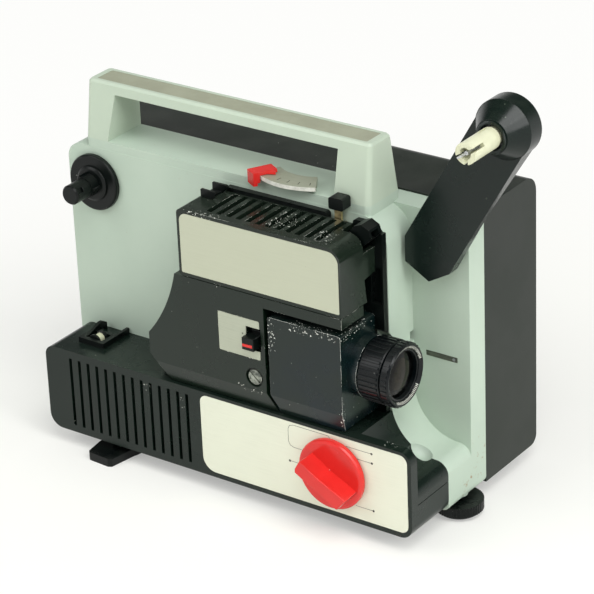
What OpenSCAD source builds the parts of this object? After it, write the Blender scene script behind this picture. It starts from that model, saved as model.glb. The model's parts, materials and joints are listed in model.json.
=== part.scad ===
// Film projector for narrow-gauge reels, with a folding supply arm and a zoom lens.
// Every piece is drawn from the lower right front corner of the base and then
// placed so that the origin lies on the floor under the middle of the assembly.

/* [Housing] */
// Length of the pale main shell
shell_len = 268; // [266:1:272]
// Height of the main shell, without its plinth
shell_h = 175; // [174:0.5:178]
// Depth of the main shell
shell_d = 40.5; // [40:0.5:44]
// Depth of the rear cover
rear_d = 57; // [56:0.5:62]
// Length of the dark front base
base_len = 265.5; // [262:0.5:267]
// Depth of the front base
base_d = 38.5; // [38:0.5:39]
// Height of the front base
base_h = 55.5; // [55:0.5:56]
// Wall thickness of the mouldings
wall = 3; // [2.6:0.1:3.2]
// Height of the feet
foot_h = 11; // [10:0.5:12]

/* [Handle] */
// Height of the carrying handle above its plinth
handle_h = 36; // [34:0.5:40]
// Length of the handle at its foot
handle_len = 204; // [200:1:206]

/* [Lens] */
// Radius of the ribbed lens rings
lens_r = 19.3; // [18.5:0.1:19.5]
// Depth of the optical axis behind the front face
axis_y = 24; // [23.5:0.1:24.5]
// Height of the optical axis above the base
axis_z = 90; // [89:0.5:91]

/* [Reel drive] */
// Distance from the arm's pivot to its spindle
arm_len = 97.5; // [95:0.5:99]
// Angle of the raised arm above the horizontal, in degrees
arm_angle = 59.7; // [58:0.1:62]
// Radius of the supply spindle
supply_r = 6.3; // [6:0.05:6.35]
// Radius of the take-up spindle
take_up_r = 6.15; // [6:0.05:6.35]

/* [Hidden] */
$fn = 64;

// Radial clearance of a running fit, and the gap left between pieces that only pass each other
fit = 0.05;
gap = 0.3;
over = 1;

// Planes from front to back
shell_y = base_d;
recess_y = shell_y + 24.5;
rear_y = shell_y + shell_d;
back_y = rear_y + rear_d;
bulkhead_y = shell_y - 4;
chassis_y = rear_y + 1;
chassis_t = 2;

// The main shell: its raised front part ends at a wall, and a swept floor runs on to the end
wall_x = -38.3;
sweep_r = 30.3;
sweep_x = wall_x + sweep_r;
sweep_z = 31.7;
lip_r = -sweep_x;
plinth_z = shell_h + 5.5;
plinth_x1 = -50;
plinth_x0 = plinth_x1 - handle_len;
plinth_y = [shell_y + 0.2, shell_y + 32.2];
shell_in = [-shell_len + wall, wall_x - wall];
screw_spots = [[-252, 16], [-252, 110], [-18, 16], [-18, 130]];

// The front base and its controls
plate_x = [-148, -2.5];
plate_z = [3, 53.5];
plate_t = 0.8;
vents = 14;
vent_pitch = 6.8;
vent_x = -246;
bezel_y = 6.5;
end_r = 8;
scallop_at = [-17.6, shell_y - 1, sweep_z + 4.6];
scallop_r = 7.8;
knob_at = [-52.9, 29.2];
knob_r = 22;
knob_t = 5;
knob_front = 17.5;
knob_angle = 29.5;
knob_shaft_r = 3;

// The film gate, the lamp house and the lens block
panel_x = [-183, -98.3];
panel_z = [56, 128.5];
flare_r = 98;
flare_at = [-257, 149.4];
block_x = [-95.6, -45.5];
block_z = 117.3;
brow_x = -44.2;
brow_z = 122;
under_y = 2.8;
under_z = 67.3;
seam_lean = 6;
cover_x = [-157, -44];
cover_z = [129, 171];
cover_y = shell_y - 4.3;
strip_z = 173.3;
cover_slots = 12;
cover_slot_x = -137.7;
stem_x = [-71.3, -66.8];
stem_y = [35.3, 36.9];
slot_x = [-111.3, -101];
slot_z = [93, 107.6];
slider_z = [95, 102.8];
screw_at = [-106.6, 75.6];
barrel_r = 15;
barrel_x = -82;
cell_r = 12.5;
face_r = 15.4;
glass_r = 14.2;
front_r = 42;
lens_front = -18;

// The film's way out on the base and the mechanism inside
roller_at = [-239.5, 57];
exit_y = [15.5, 24.5];
cutter_x = [-29.6, -8.6];
cutter_z = [83.1, 86.3];
slit_z = [90.6, 96.9];
exit_pin_r = 1.2;
shaft_at = [50, axis_z];
shaft_r = 3;
shutter_r = 33;
sprocket_at = [-75, 128];
motor_at = [108, 50];
pulley_x = -148;
drive_r = 6.5;
motor_pulley_r = 3.5;
take_up_at = [-247.5, 153];
take_up_belt_y = 61;
key_y = 26;
take_up_pulley_r = 14;
sprocket_pulley_r = 6;
belt_t = 1.2;
pulley_rim = 1.2;
inlet_x = [-258, -238];
inlet_z = [28, 46];

// The supply arm
arm_pivot_at = [-19.2, 155.6];
arm_y = [51.5, 62.5];
tip_y = 13.5;
arm_half = 16.9;
head_r = 17.8;
boss_len = 12.5;
boss_well = 8;
pivot_r = 6;
spindle_at = arm_pivot_at + arm_len * [cos(arm_angle), sin(arm_angle)];

// The speed lever swings about a pin under the plinth
lever_at = [-105.9, 72.2];
lever_angle = -29.7;
lever_pin_r = 2;
scale_r = [24.5, 40];
scale_z = plinth_z + 4.5;
scale_t = 2.4;
web_r = [27, 30];
tab_r = 44.6;
lever_z = scale_z + gap + 2.1;

// The feet
swing_at = [-220.6, 15.5];
swing_r = 3;
swing_t = 5.5;
level_at = [-5.5, 58];
stud_r = 2.5;
wheel_r = 14.6;

// The whole assembly's middle, left to right and front to back
mid_x = (spindle_at[0] + head_r - shell_len) / 2;
mid_y = (back_y - knob_front) / 2;

// Colours
base_grey = [0.20, 0.23, 0.22];
shell_green = [0.72, 0.78, 0.72];
handle_green = [0.80, 0.85, 0.79];
taupe = [0.58, 0.57, 0.50];
cover_brown = [0.13, 0.12, 0.11];
black = [0.07, 0.08, 0.08];
block_blue = [0.11, 0.14, 0.17];
red = [0.88, 0.11, 0.13];
plate_silver = [0.84, 0.84, 0.79];
cream = [0.91, 0.90, 0.80];
steel = [0.66, 0.67, 0.68];
brass = [0.72, 0.58, 0.30];
rubber = [0.05, 0.05, 0.05];
glass = [0.62, 0.72, 0.70];

// Shared shapes
module placed() translate([-mid_x, -mid_y, foot_h]) children();

module box(low, high) translate(low) cube(high - low);

// A flat outline from one corner to the other, with its own radius at each corner,
// counted from the lower left one
module rounded(low, high, r) {
    x0 = low[0];
    y0 = low[1];
    x1 = high[0];
    y1 = high[1];
    polygon(concat(
        r[0] > 0 ? [[x0, y0 + r[0]], [x0 + r[0], y0]] : [[x0, y0]],
        r[1] > 0 ? [[x1 - r[1], y0], [x1, y0 + r[1]]] : [[x1, y0]],
        r[2] > 0 ? [[x1, y1 - r[2]], [x1 - r[2], y1]] : [[x1, y1]],
        r[3] > 0 ? [[x0 + r[3], y1], [x0, y1 - r[3]]] : [[x0, y1]]));
    centres = [[x0 + r[0], y0 + r[0]], [x1 - r[1], y0 + r[1]],
               [x1 - r[2], y1 - r[2]], [x0 + r[3], y1 - r[3]]];
    for (i = [0:3]) if (r[i] > 0) translate(centres[i]) circle(r[i]);
}

// An outline of length and height, pushed from one depth to another
module through_y(y0, y1) translate([0, y1, 0]) rotate([90, 0, 0]) linear_extrude(y1 - y0) children();

// An outline of depth and height, pushed along the length
module through_x(x0, x1) translate([x0, 0, 0]) rotate([90, 0, 90]) linear_extrude(x1 - x0) children();

module rod_x(at, x0, x1, r) translate([x0, at[0], at[1]]) rotate([0, 90, 0]) cylinder(h = x1 - x0, r = r);

module rod_y(at, y0, y1, r) translate([at[0], y1, at[1]]) rotate([90, 0, 0]) cylinder(h = y1 - y0, r = r);

module rod_z(at, z0, z1, r) translate([at[0], at[1], z0]) cylinder(h = z1 - z0, r = r);

// A round body about the optical axis: outline points are [place along the axis, radius]
module lens_turned(outline) translate([0, axis_y, axis_z]) rotate([0, 90, 0]) rotate([0, 0, 90])
    rotate_extrude() polygon([for (p = outline) [p[1], p[0]]]);

// The outline that a tight belt takes round two wheels, grown by a thickness
module belt_outline(a, ra, b, rb, grow) {
    span = norm(b - a);
    heading = atan2(b[1] - a[1], b[0] - a[0]);
    lean = acos((ra - rb) / span);
    side = function (at, r, s) at + r * [cos(heading + s * lean), sin(heading + s * lean)];
    translate(a) circle(ra + grow);
    translate(b) circle(rb + grow);
    ka = ra + grow - 0.01;
    kb = rb + grow - 0.01;
    polygon([side(a, ka, 1), side(b, kb, 1), side(b, kb, -1), side(a, ka, -1)]);
}

module belt_loop(a, ra, b, rb) difference() {
    belt_outline(a, ra, b, rb, gap + belt_t);
    belt_outline(a, ra, b, rb, gap);
}

// Half the section of a belt pulley, from its bore to its rims
module grooved(bore, r, rim, half) polygon([[bore, -half], [r + rim, -half], [r + rim, 0.6 - half],
    [r, 1 - half], [r, half - 1], [r + rim, half - 0.6], [r + rim, half], [bore, half]]);

// A flat ring sector about the lever's pin
module sector(r0, r1, from, to) intersection() {
    difference() {
        circle(r1);
        circle(r0);
    }
    polygon([[0, 0], 2 * r1 * [sin(from), -cos(from)],
             2 * r1 * [sin((from + to) / 2), -cos((from + to) / 2)], 2 * r1 * [sin(to), -cos(to)]]);
}

// The slope that undercuts the front of the gate panel and the lens block
module undercut(x0, x1) through_x(x0, x1) polygon([[-over, base_h - over], [under_y, base_h - over],
    [under_y, panel_z[0]], [0, under_z], [-over, under_z]]);

// The seam between the gate panel and the lens block leans to the right below the slope
module seam_wedge(x) polygon([[x - over, under_z], [x, under_z], [x + seam_lean, panel_z[0]],
    [x - over, panel_z[0]]]);

// Housing
module base_housing() color(base_grey) placed() difference() {
    union() {
        through_y(0, bezel_y) rounded([-base_len, 0], [0, base_h], [9, end_r, 8, 7]);
        through_y(bezel_y - over, base_d) {
            rounded([-base_len, 0], [wall_x, base_h], [9, 0, 0, 7]);
            swept_end(base_h, end_r);
        }
        rod_z(swing_at, -foot_h + wall, over, swing_r);
    }
    through_y(wall, base_d + over)
        rounded([-base_len + wall, wall], [wall_x - wall, base_h - wall], [6, 0, 0, 4]);
    box([wall_x - 2 * wall, wall, wall], [-2 * wall, base_d + over, sweep_z - 2 * wall]);
    scallop();
    // Parting line on the right end
    box([-0.5, bezel_y, 19.8], [over, base_d + over, 20.3]);
    for (i = [0:vents - 1]) translate([vent_x + i * vent_pitch, 0, 0])
        box([-1.1, -over, 4.8], [1.1, wall + over, 50.5]);
    through_y(-over, plate_t) control_outline(0);
    rod_y(knob_at, -over, wall + over, 5);
    box([roller_at[0] - 6, exit_y[0], base_h - 2 * wall], [roller_at[0] + 6, exit_y[1], base_h + over]);
}

// Below the lens the base and the shell end in one swept floor that runs out to a rounded lip.
// The folded arm parks its head there.
module swept_end(top, low_r) {
    difference() {
        translate([wall_x - over, 0]) square([sweep_r + over, top]);
        translate([sweep_x, sweep_z + sweep_r]) circle(sweep_r);
    }
    rounded([sweep_x - over, 0], [0, sweep_z - lip_r], [0, low_r, 0, 0]);
    translate([sweep_x, sweep_z - lip_r]) circle(lip_r);
}

// Finger scallop across the joint of base and shell
module scallop() translate(scallop_at) sphere(scallop_r);

module control_outline(inset) rounded([plate_x[0] + inset, plate_z[0] + inset],
    [plate_x[1] - inset, plate_z[1] - inset], [9, 5, 5, 5]);

module control_plate() color(plate_silver) placed() difference() {
    through_y(0, plate_t) control_outline(0.15);
    rod_y(knob_at, -over, plate_t + over, 5.5);
}

module raised_outline() {
    rounded([-shell_len, 0], [wall_x, shell_h], [6, 0, 17, 10]);
    swept_end(sweep_z + sweep_r, 4);
}

module main_shell() color(shell_green) placed() difference() {
    union() {
        difference() {
            union() {
                through_y(shell_y, rear_y) raised_outline();
                through_y(recess_y, rear_y) rounded([-shell_len, 0], [0, shell_h], [6, 4, 4, 10]);
                translate([0, 0, shell_h - wall]) linear_extrude(plinth_z - shell_h + wall)
                    rounded([plinth_x0, plinth_y[0]], [plinth_x1, plinth_y[1]], [4, 4, 4, 4]);
            }
            through_y(shell_y + wall, rear_y + over)
                rounded([shell_in[0], wall], [shell_in[1], shell_h - wall], [3, 0, 14, 7]);
            box([shell_in[1] - over, recess_y + wall, wall], [-wall, rear_y + over, shell_h - wall]);
            box([shell_in[1] - over, shell_y + wall, wall], [-wall, rear_y, sweep_z - 2.5 * wall]);
        }
        // Liner of the scoop that clears the lens
        intersection() {
            rod_x([axis_y, axis_z], block_x[1] - wall, wall_x, lens_r + 4.7);
            box([-60, shell_y, 0], [0, recess_y, shell_h]);
        }
        for (p = screw_spots) rod_y(p, p[0] > shell_in[1] && p[1] > sweep_z ? recess_y + 1 : shell_y + 1,
                                    chassis_y, 4.5);
        rod_z(level_at, 1, 24.5, 5.2);
        rod_z(lever_at, shell_h - 10, shell_h - 1, lever_pin_r);
    }
    lens_scoop();
    barrel_groove();
    scallop();
    // Slit in the end wall, beside the film cutter
    box([wall_x - wall - over, recess_y - 3.4, slit_z[0]], [wall_x + over, recess_y, slit_z[1]]);
    for (p = screw_spots) rod_y(p, chassis_y - 8, chassis_y + over, 1.5);
    rod_y(take_up_at, shell_y - over, shell_y + wall + over, 5);
    rod_y(arm_pivot_at, recess_y - over, recess_y + wall + over, pivot_r);
    rod_y(sprocket_at, shell_y - over, shell_y + wall + over, 4);
    box([-150, shell_y - over, 70], [-120, shell_y + wall + over, 110]);
    box([-118, shell_y - over, 56], [-110, shell_y + wall + over, 124]);
    box([cutter_x[0] - 0.1, recess_y - over, cutter_z[0] - 0.1],
        [cutter_x[1] + 0.1, recess_y + 0.6, cutter_z[1] + 0.1]);
    rod_z(level_at, -over, 27, stud_r + fit);
    // Slot for the speed lever's web, under the scale
    translate([lever_at[0], lever_at[1], shell_h - wall - over])
        linear_extrude(plinth_z - shell_h + wall + 2) sector(web_r[0] - 0.8, web_r[1] + 0.5, -34.2, 26);
}

// One level of the handle's outline: how far it is drawn in at the left and the right,
// its front and back edges behind the plinth's front, its height and its corner radius
module handle_rim(left, right, front, back, z, r)
    for (x = [plinth_x0 + left + r, plinth_x1 - right - r], y = [front + r, back - r])
        translate([x, plinth_y[0] + y, plinth_z + z]) cylinder(h = 0.01, r = r, $fn = 32);

module handle() color(handle_green) placed() difference() {
    hull() {
        handle_rim(0, 0, 0, 32, 0, 4);
        handle_rim(1.2, 0.6, 4.4, 25.4, handle_h - 1.4, 3);
        handle_rim(2.6, 2, 5.8, 24.2, handle_h, 2);
    }
    through_y(0, rear_y) polygon([[plinth_x0 + 17, plinth_z - over], [plinth_x1 - 24, plinth_z - over],
        [plinth_x1 - 22.5, plinth_z + handle_h - 6.5], [plinth_x0 + 22, plinth_z + handle_h - 6.5]]);
    translate([0, 0, plinth_z + handle_h - 0.8]) linear_extrude(2) inlay_outline(0);
}

module inlay_outline(inset) rounded([plinth_x0 + 6 + inset, plinth_y[0] + 7.8 + inset],
    [plinth_x1 - 5.5 - inset, plinth_y[0] + 22.2 - inset], [1, 1, 1, 1]);

module handle_inlay() color(taupe) placed()
    translate([0, 0, plinth_z + handle_h - 0.8]) linear_extrude(0.6) inlay_outline(0.15);

module rear_cover() color(cover_brown) placed() difference() {
    union() {
        difference() {
            intersection() {
                through_y(rear_y, back_y) rounded([-shell_len, 0], [0, shell_h + 1], [6, 6, 8, 8]);
                through_x(-shell_len, 0) rounded([shell_y, 0], [back_y, shell_h + 1], [0, 6, 11, 0]);
                linear_extrude(shell_h + 1) rounded([-shell_len, shell_y], [0, back_y], [0, 0, 8, 8]);
            }
            through_x(-shell_len + 1.5 * wall, -1.5 * wall)
                rounded([rear_y - over, wall], [back_y - wall, shell_h + 1 - wall], [0, 3, 8, 0]);
        }
        for (p = screw_spots) rod_y(p, chassis_y + chassis_t, back_y - 1, 5);
    }
    for (p = screw_spots) {
        rod_y(p, rear_y, back_y + over, 1.7);
        rod_y(p, back_y - 3, back_y + over, 3.9);
    }
    // Cooling grilles behind the motor and the transformer
    for (x = [-212, -120], i = [0:8])
        box([x, back_y - wall - over, 24 + 7 * i], [x + 66, back_y + over, 27.2 + 7 * i]);
    inlet_cut();
}

module inlet_cut()
    box([inlet_x[0], back_y - wall - over, inlet_z[0]], [inlet_x[1], back_y + over, inlet_z[1]]);

module chassis_plate() color(steel) placed() difference() {
    through_y(chassis_y, chassis_y + chassis_t)
        rounded([-shell_len + 2 * wall, 2 * wall], [-2 * wall, shell_h - 2 * wall], [4, 4, 4, 4]);
    for (p = screw_spots) rod_y(p, chassis_y - over, chassis_y + chassis_t + over, 1.7);
    box([-120, chassis_y - over, 50], [-108, chassis_y + chassis_t + over, 130]);
    box([pulley_x - 8, chassis_y - over, 30], [pulley_x + 8, chassis_y + chassis_t + over, 116]);
}

module cover_screws() color(steel) placed() for (p = screw_spots) difference() {
    union() {
        rod_y(p, chassis_y - 6, back_y - 2.9, 1.5);
        rod_y(p, back_y - 3, back_y - 1, 3.5);
    }
    box([p[0] - 3, back_y - 1.8, p[1] - 0.5], [p[0] + 3, back_y, p[1] + 0.5]);
}

module mains_inlet() color(black) placed() difference() {
    union() {
        box([inlet_x[0], back_y - 16, inlet_z[0]], [inlet_x[1], back_y - 0.5, inlet_z[1]]);
        box([inlet_x[0] - 2, back_y - wall - 2, inlet_z[0] - 2],
            [inlet_x[1] + 2, back_y - wall, inlet_z[1] + 2]);
    }
    box([inlet_x[0] + wall, back_y - 12, inlet_z[0] + wall],
        [inlet_x[1] - wall, back_y + over, inlet_z[1] - wall]);
}

module rubber_feet() color(rubber) placed() for (x = [-240, -35]) {
    rod_z([x, back_y - 18], -foot_h + 2, 0, 9);
    translate([x, back_y - 18, -foot_h]) cylinder(h = 2, r1 = 7.5, r2 = 9);
}

// Lamp house, gate and lens
module lamp_bulkhead() color(black) placed() difference() {
    union() {
        through_y(bulkhead_y, shell_y) {
            rounded([cover_x[0] + over, panel_z[0]], [wall_x - 0.6, cover_z[1] - wall], [0, 0, 0, 4]);
            panel_outline();
            // Raised strip behind the cover, open where the framing stem comes out
            rounded([-148, 160], [-76, strip_z], [0, 0, 2, 2]);
            rounded([-58.5, 150], [wall_x - 0.6, strip_z], [0, 0, 12, 2]);
        }
        // Hooded film guide beside the cover
        through_y(24.5, bulkhead_y + over) polygon([[-56, 167.5], [-51, 174.5], [-46, 176.5], [-41, 174],
            [-39.4, 169.5], [-45, 163.5]]);
        rod_y(screw_at, wall, bulkhead_y + over, 3.5);
    }
    box([stem_x[0] - fit, stem_y[0] - fit, 148], [stem_x[1] + fit, stem_y[1] + fit, strip_z]);
    rod_y(screw_at, wall - over, 16, 2);
    box([-46, 26, 166.6], [-38, 33, 172.6]);
    box([-47, bulkhead_y - over, 124], [wall_x - 2, bulkhead_y + 3, 147]);
    box([-150, bulkhead_y - over, 70], [-120, shell_y + over, 110]);
    box([-118, bulkhead_y - over, 57.5], [-110, shell_y + over, 122.5]);
    rod_y(sprocket_at, bulkhead_y - over, shell_y + over, shaft_r + fit);
    barrel_groove();
    lens_scoop();
}

// Room round the lens beside its block
module lens_scoop() rod_x([axis_y, axis_z], block_x[1] - over, wall_x + over, lens_r + 1.7);

// Room behind the lens block for the back of the lens barrel
module barrel_groove() rod_x([axis_y, axis_z], barrel_x - gap, block_x[1], barrel_r + gap);

// The gate panel's left edge flares out towards the base
module panel_outline() difference() {
    rounded([panel_x[0], panel_z[0]], [panel_x[1], panel_z[1]], [2, 0, 0, 0]);
    translate(flare_at) circle(flare_r);
}

module gate_panel() color(base_grey) placed() difference() {
    union() {
        through_y(0, bulkhead_y) panel_outline();
        // Brow that runs on over the lens block
        box([panel_x[1] - over, 0, brow_z], [brow_x, 17, panel_z[1]]);
        box([brow_x - 16, 0, brow_z], [brow_x, 22, panel_z[1]]);
        through_y(0, wall) seam_wedge(panel_x[1]);
    }
    through_y(wall, bulkhead_y + over) difference() {
        translate([panel_x[0] + wall, panel_z[0] + wall])
            square([panel_x[1] - panel_x[0] - 2 * wall, panel_z[1] - panel_z[0]]);
        translate(flare_at) circle(flare_r + wall);
        translate([panel_x[0], panel_z[0]]) polygon([[0, 0], [19, 0], [0, 23]]);
    }
    undercut(panel_x[0] - over, panel_x[1] + seam_lean + over);
    // Swept lower left corner
    translate([panel_x[0], 0, 71.5]) rotate([0, -34, 48.5]) box([-30, -30, -30], [0, 30, 30]);
    through_y(-over, 0.6) format_outline(0);
    box([slot_x[0], -over, slot_z[0]], [slot_x[1], wall + over, slot_z[1]]);
    rod_y(screw_at, -over, 2, 6);
    rod_y(screw_at, -over, wall + over, 2.2);
    box([panel_x[1] - wall - over, axis_y - 6, axis_z - 8], [panel_x[1] + over, axis_y + 6, axis_z + 8]);
}

module format_outline(inset)
    rounded([-131 + inset, 87.6 + inset], [-101.6 - inset, 112.5 - inset], [1, 1, 1, 1]);

module format_plate() color(plate_silver) placed() difference() {
    through_y(0, 0.6) format_outline(0.1);
    box([slot_x[0], -over, slot_z[0]], [slot_x[1] + over, over, slot_z[1]]);
}

module format_slider() color(black) placed() {
    box([slot_x[0] + 0.4, -5, slider_z[0]], [slot_x[1] - 1.6, wall + gap + 1, slider_z[1]]);
    box([slot_x[0] - 2, wall + gap, slider_z[0] - 2],
        [slot_x[1] - 0.6, wall + gap + 1.6, slider_z[1] + 2]);
}

module panel_screw() color(steel) placed() difference() {
    union() {
        rod_y(screw_at, 0.4, 2, 4.6);
        rod_y(screw_at, 1, 15, 2);
    }
    rotate_at_y(screw_at, 40) box([-5, 0, -0.6], [5, 1.3, 0.6]);
}

module rotate_at_y(at, angle) translate([at[0], 0, at[1]]) rotate([0, angle, 0]) children();

module lens_block() color(block_blue) placed() difference() {
    union() {
        through_y(0, bulkhead_y)
            rounded([block_x[0], panel_z[0]], [block_x[1], block_z], [0, 1.5, 1.5, 1.5]);
        rod_x([axis_y, axis_z], block_x[1] - 0.2, block_x[1] + 6, lens_r - 0.8);
    }
    undercut(block_x[0] - over, block_x[1] + over);
    through_y(-over, wall + gap) seam_wedge(block_x[0]);
    rod_x([axis_y, axis_z], barrel_x, block_x[1] + 7, barrel_r);
    rod_x([axis_y, axis_z], block_x[0] - over, barrel_x + 2, 6);
    box([block_x[0] - over, axis_y - 9, axis_z - 19], [block_x[0] + 4, axis_y + 9, axis_z + 19]);
    for (s = [-1, 1]) rod_x([axis_y, axis_z + s * 13], block_x[0], block_x[0] + 11, 1.5 + fit);
}

module lens_barrel() color(black) placed() lens_turned([[barrel_x, cell_r + fit], [barrel_x, barrel_r],
    [lens_front - 6.2, barrel_r], [lens_front - 6.2, cell_r + fit]]);

module aperture_plate() color(steel) placed() difference() {
    box([panel_x[1], axis_y - 9, axis_z - 26], [panel_x[1] + 1, axis_y + 9, axis_z + 26]);
    box([panel_x[1] - over, axis_y - 2.7, axis_z - 2], [panel_x[1] + 2, axis_y + 2.7, axis_z + 2]);
    box([panel_x[1] - over, axis_y - 4.6, axis_z - 10], [panel_x[1] + 2, axis_y - 3.4, axis_z - 4]);
}

module pressure_plate() color(steel) placed() difference() {
    union() {
        box([block_x[0] - 1.2, axis_y - 8, axis_z - 18], [block_x[0] + 0.4, axis_y + 8, axis_z + 18]);
        for (s = [-1, 1]) rod_x([axis_y, axis_z + s * 13], block_x[0], block_x[0] + 8, 1.5);
    }
    box([block_x[0] - 2, axis_y - 3.4, axis_z - 2.8], [block_x[0] + 1, axis_y + 3.4, axis_z + 2.8]);
}

module lamp_socket() color(cream) placed() difference() {
    box([-160, axis_y - 9, axis_z - 9], [-150, bulkhead_y, axis_z + 9]);
    for (s = [-1, 1]) rod_x([axis_y + 3 * s, axis_z], -156, -149, 0.9);
}

module lamp_bulb() color(glass) placed() {
    rod_x([axis_y, axis_z], -150, -141, 6);
    rod_x([axis_y, axis_z], -141.5, -130, 4);
    translate([-130, axis_y, axis_z]) sphere(4);
    for (s = [-1, 1]) rod_x([axis_y + 3 * s, axis_z], -155, -149.5, 0.85);
}

module lamp_reflector() color(plate_silver) placed() lens_turned(concat(
    [[-146, 6], [-146, 8]],
    [for (a = [0:10:90]) [-142 + 20 * (1 - cos(a)), 8 + 10 * sin(a)]],
    [for (a = [90:-10:0]) [-140.8 + 18.8 * (1 - cos(a)), 7 + 9.8 * sin(a)]],
    [[-141, 6]]));

module filter_holder() color(steel) placed() difference() {
    box([-119.6, axis_y - 12, axis_z - 12], [-117, bulkhead_y, axis_z + 12]);
    rod_x([axis_y, axis_z], -120, -116, 8);
    rod_x([axis_y, axis_z], -119, -116, 10);
}

module heat_filter() color(glass) placed() rod_x([axis_y, axis_z], -119, -117.4, 10);

module zoom_ring() color(black) placed() union() {
    lens_turned([[block_x[1] + 6.3, barrel_r + fit], [block_x[1] + 6.3, lens_r - 1.2],
                 [block_x[1] + 7.3, lens_r - 0.7], [lens_front - 7.3, lens_r - 0.7],
                 [lens_front - 6.6, lens_r - 1.4], [lens_front - 6.6, barrel_r + fit]]);
    for (a = [0:10:359]) translate([0, axis_y, axis_z]) rotate([a, 0, 0])
        box([block_x[1] + 7.6, lens_r - 1.2, -0.8], [lens_front - 7.6, lens_r, 0.8]);
}

module lens_cell() color(black) placed() lens_turned([[-74, 9], [-74, cell_r], [lens_front - 5.9, cell_r],
    [lens_front - 5.9, face_r], [lens_front - 1.8, face_r], [lens_front - 1.8, glass_r],
    [lens_front - 5, glass_r], [lens_front - 5, 9]]);

module lens_glass() color(glass) placed() {
    intersection() {
        rod_x([axis_y, axis_z], lens_front - 5, lens_front - 1.8, glass_r);
        translate([lens_front - 2 - front_r, axis_y, axis_z]) sphere(front_r, $fn = 96);
    }
    rod_x([axis_y, axis_z], -73, -70, 9);
}

module focus_ring() color(black) placed() union() {
    lens_turned([[lens_front - 5.9, face_r + fit], [lens_front - 5.9, lens_r - 1],
                 [lens_front - 5.2, lens_r - 0.5], [lens_front - 1, lens_r - 0.5],
                 [lens_front, lens_r - 1.3], [lens_front, lens_r - 1.8], [lens_front - 1.4, face_r + fit]]);
    for (a = [0:10:359]) translate([0, axis_y, axis_z]) rotate([a, 0, 0])
        box([lens_front - 5, lens_r - 1, -0.8], [lens_front - 1.2, lens_r, 0.8]);
}

module lamp_cover() color(base_grey) placed() difference() {
    through_y(0, cover_y) rounded([cover_x[0], cover_z[0]], [cover_x[1], cover_z[1]], [2, 0, 9, 3]);
    through_y(wall, cover_y + over) rounded([cover_x[0] + wall, cover_z[0] - over],
        [cover_x[1] - wall, cover_z[1] - wall], [0, 0, 6, 2]);
    for (i = [0:cover_slots - 1]) translate([cover_slot_x + i * vent_pitch, 0, 0])
        box([-1.8, 5.5, cover_z[1] - wall - over], [1.8, cover_y - 1.4, cover_z[1] + over]);
    // Way in for the film at the right
    box([-58, 23, 160], [cover_x[1] + over, cover_y + over, cover_z[1] + over]);
    through_y(-over, 0.6) lamp_plate_outline(0);
    // Mouth at the lower right, over the gate
    through_x(cover_x[1] - wall - over, cover_x[1] + over) polygon([[25.5, cover_z[0] - over],
        [cover_y + over, cover_z[0] - over], [cover_y + over, 145], [23.5, 143.5]]);
}

module lamp_plate_outline(inset)
    rounded([-155.4 + inset, 131 + inset], [-45.2 - inset, 168.7 - inset], [1, 1, 7, 5]);

module lamp_cover_plate() color(plate_silver) placed() through_y(0, 0.6) lamp_plate_outline(0.1);

module rewind_guide() color(black) placed() {
    box([-154, 21, cover_z[1]], [-147, 31, cover_z[1] + 0.8]);
    for (y = [19.6, 30.8]) through_y(y, y + 1.6) polygon([[-154, cover_z[1]], [-146.5, cover_z[1]],
        [-143, cover_z[1] + 3], [-143, cover_z[1] + 4.4], [-143.6, cover_z[1] + 5], [-154, cover_z[1] + 5]]);
}

module framing_button() color(black) placed() {
    through_y(30, 38) rounded([-71.6, plinth_z - 2], [-61.8, plinth_z + 5.3], [1.2, 1.2, 1.6, 1.6]);
    box([stem_x[0], stem_y[0], 153], [stem_x[1], stem_y[1], plinth_z]);
}

// Controls
module rotary_switch() color(black) placed() difference() {
    union() {
        rod_y(knob_at, wall, 24, 9);
        for (a = [0:60:300]) rotate_at_y(knob_at, a) box([6, 24, -1], [7, 29, 1]);
    }
    rod_y(knob_at, wall - over, 18, knob_shaft_r + fit);
}

module mode_knob() color(red) placed() {
    translate([knob_at[0], 0, knob_at[1]]) rotate([90, 0, 0]) rotate_extrude()
        polygon([[0, 0.4], [knob_r - 0.6, 0.4], [knob_r, 1], [knob_r, knob_t - 1.6],
                 [knob_r - 0.7, knob_t - 0.5], [knob_r - 2.2, knob_t], [0, knob_t]]);
    // Grip bar, waisted for the fingers
    rotate_at_y(knob_at, knob_angle) through_y(-knob_front, 0.1 - knob_t)
        polygon([[-16, -2.5], [-15, -4.6], [-9, -4.7], [2, -4.1], [12, -4.7], [17.6, -4.6],
                 [19.2, 4.6], [12, 4.7], [-1, 3.7], [-9, 4.6], [-15.6, 4.6], [-16, 4]]);
    rod_y(knob_at, -1, 17, knob_shaft_r);
}

module speed_scale() color(plate_silver) placed() translate([lever_at[0], lever_at[1], 0]) {
    translate([0, 0, scale_z - scale_t]) linear_extrude(scale_t) sector(scale_r[0], scale_r[1], -36, 30.5);
    translate([0, 0, plinth_z]) linear_extrude(scale_z - scale_t / 2 - plinth_z) {
        sector(scale_r[0] + 0.2, scale_r[0] + 1.4, -35.8, 30.3);
        for (a = [-35.8, 28.9]) sector(scale_r[0] + 0.2, web_r[1], a, a + 1.4);
    }
}

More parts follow.
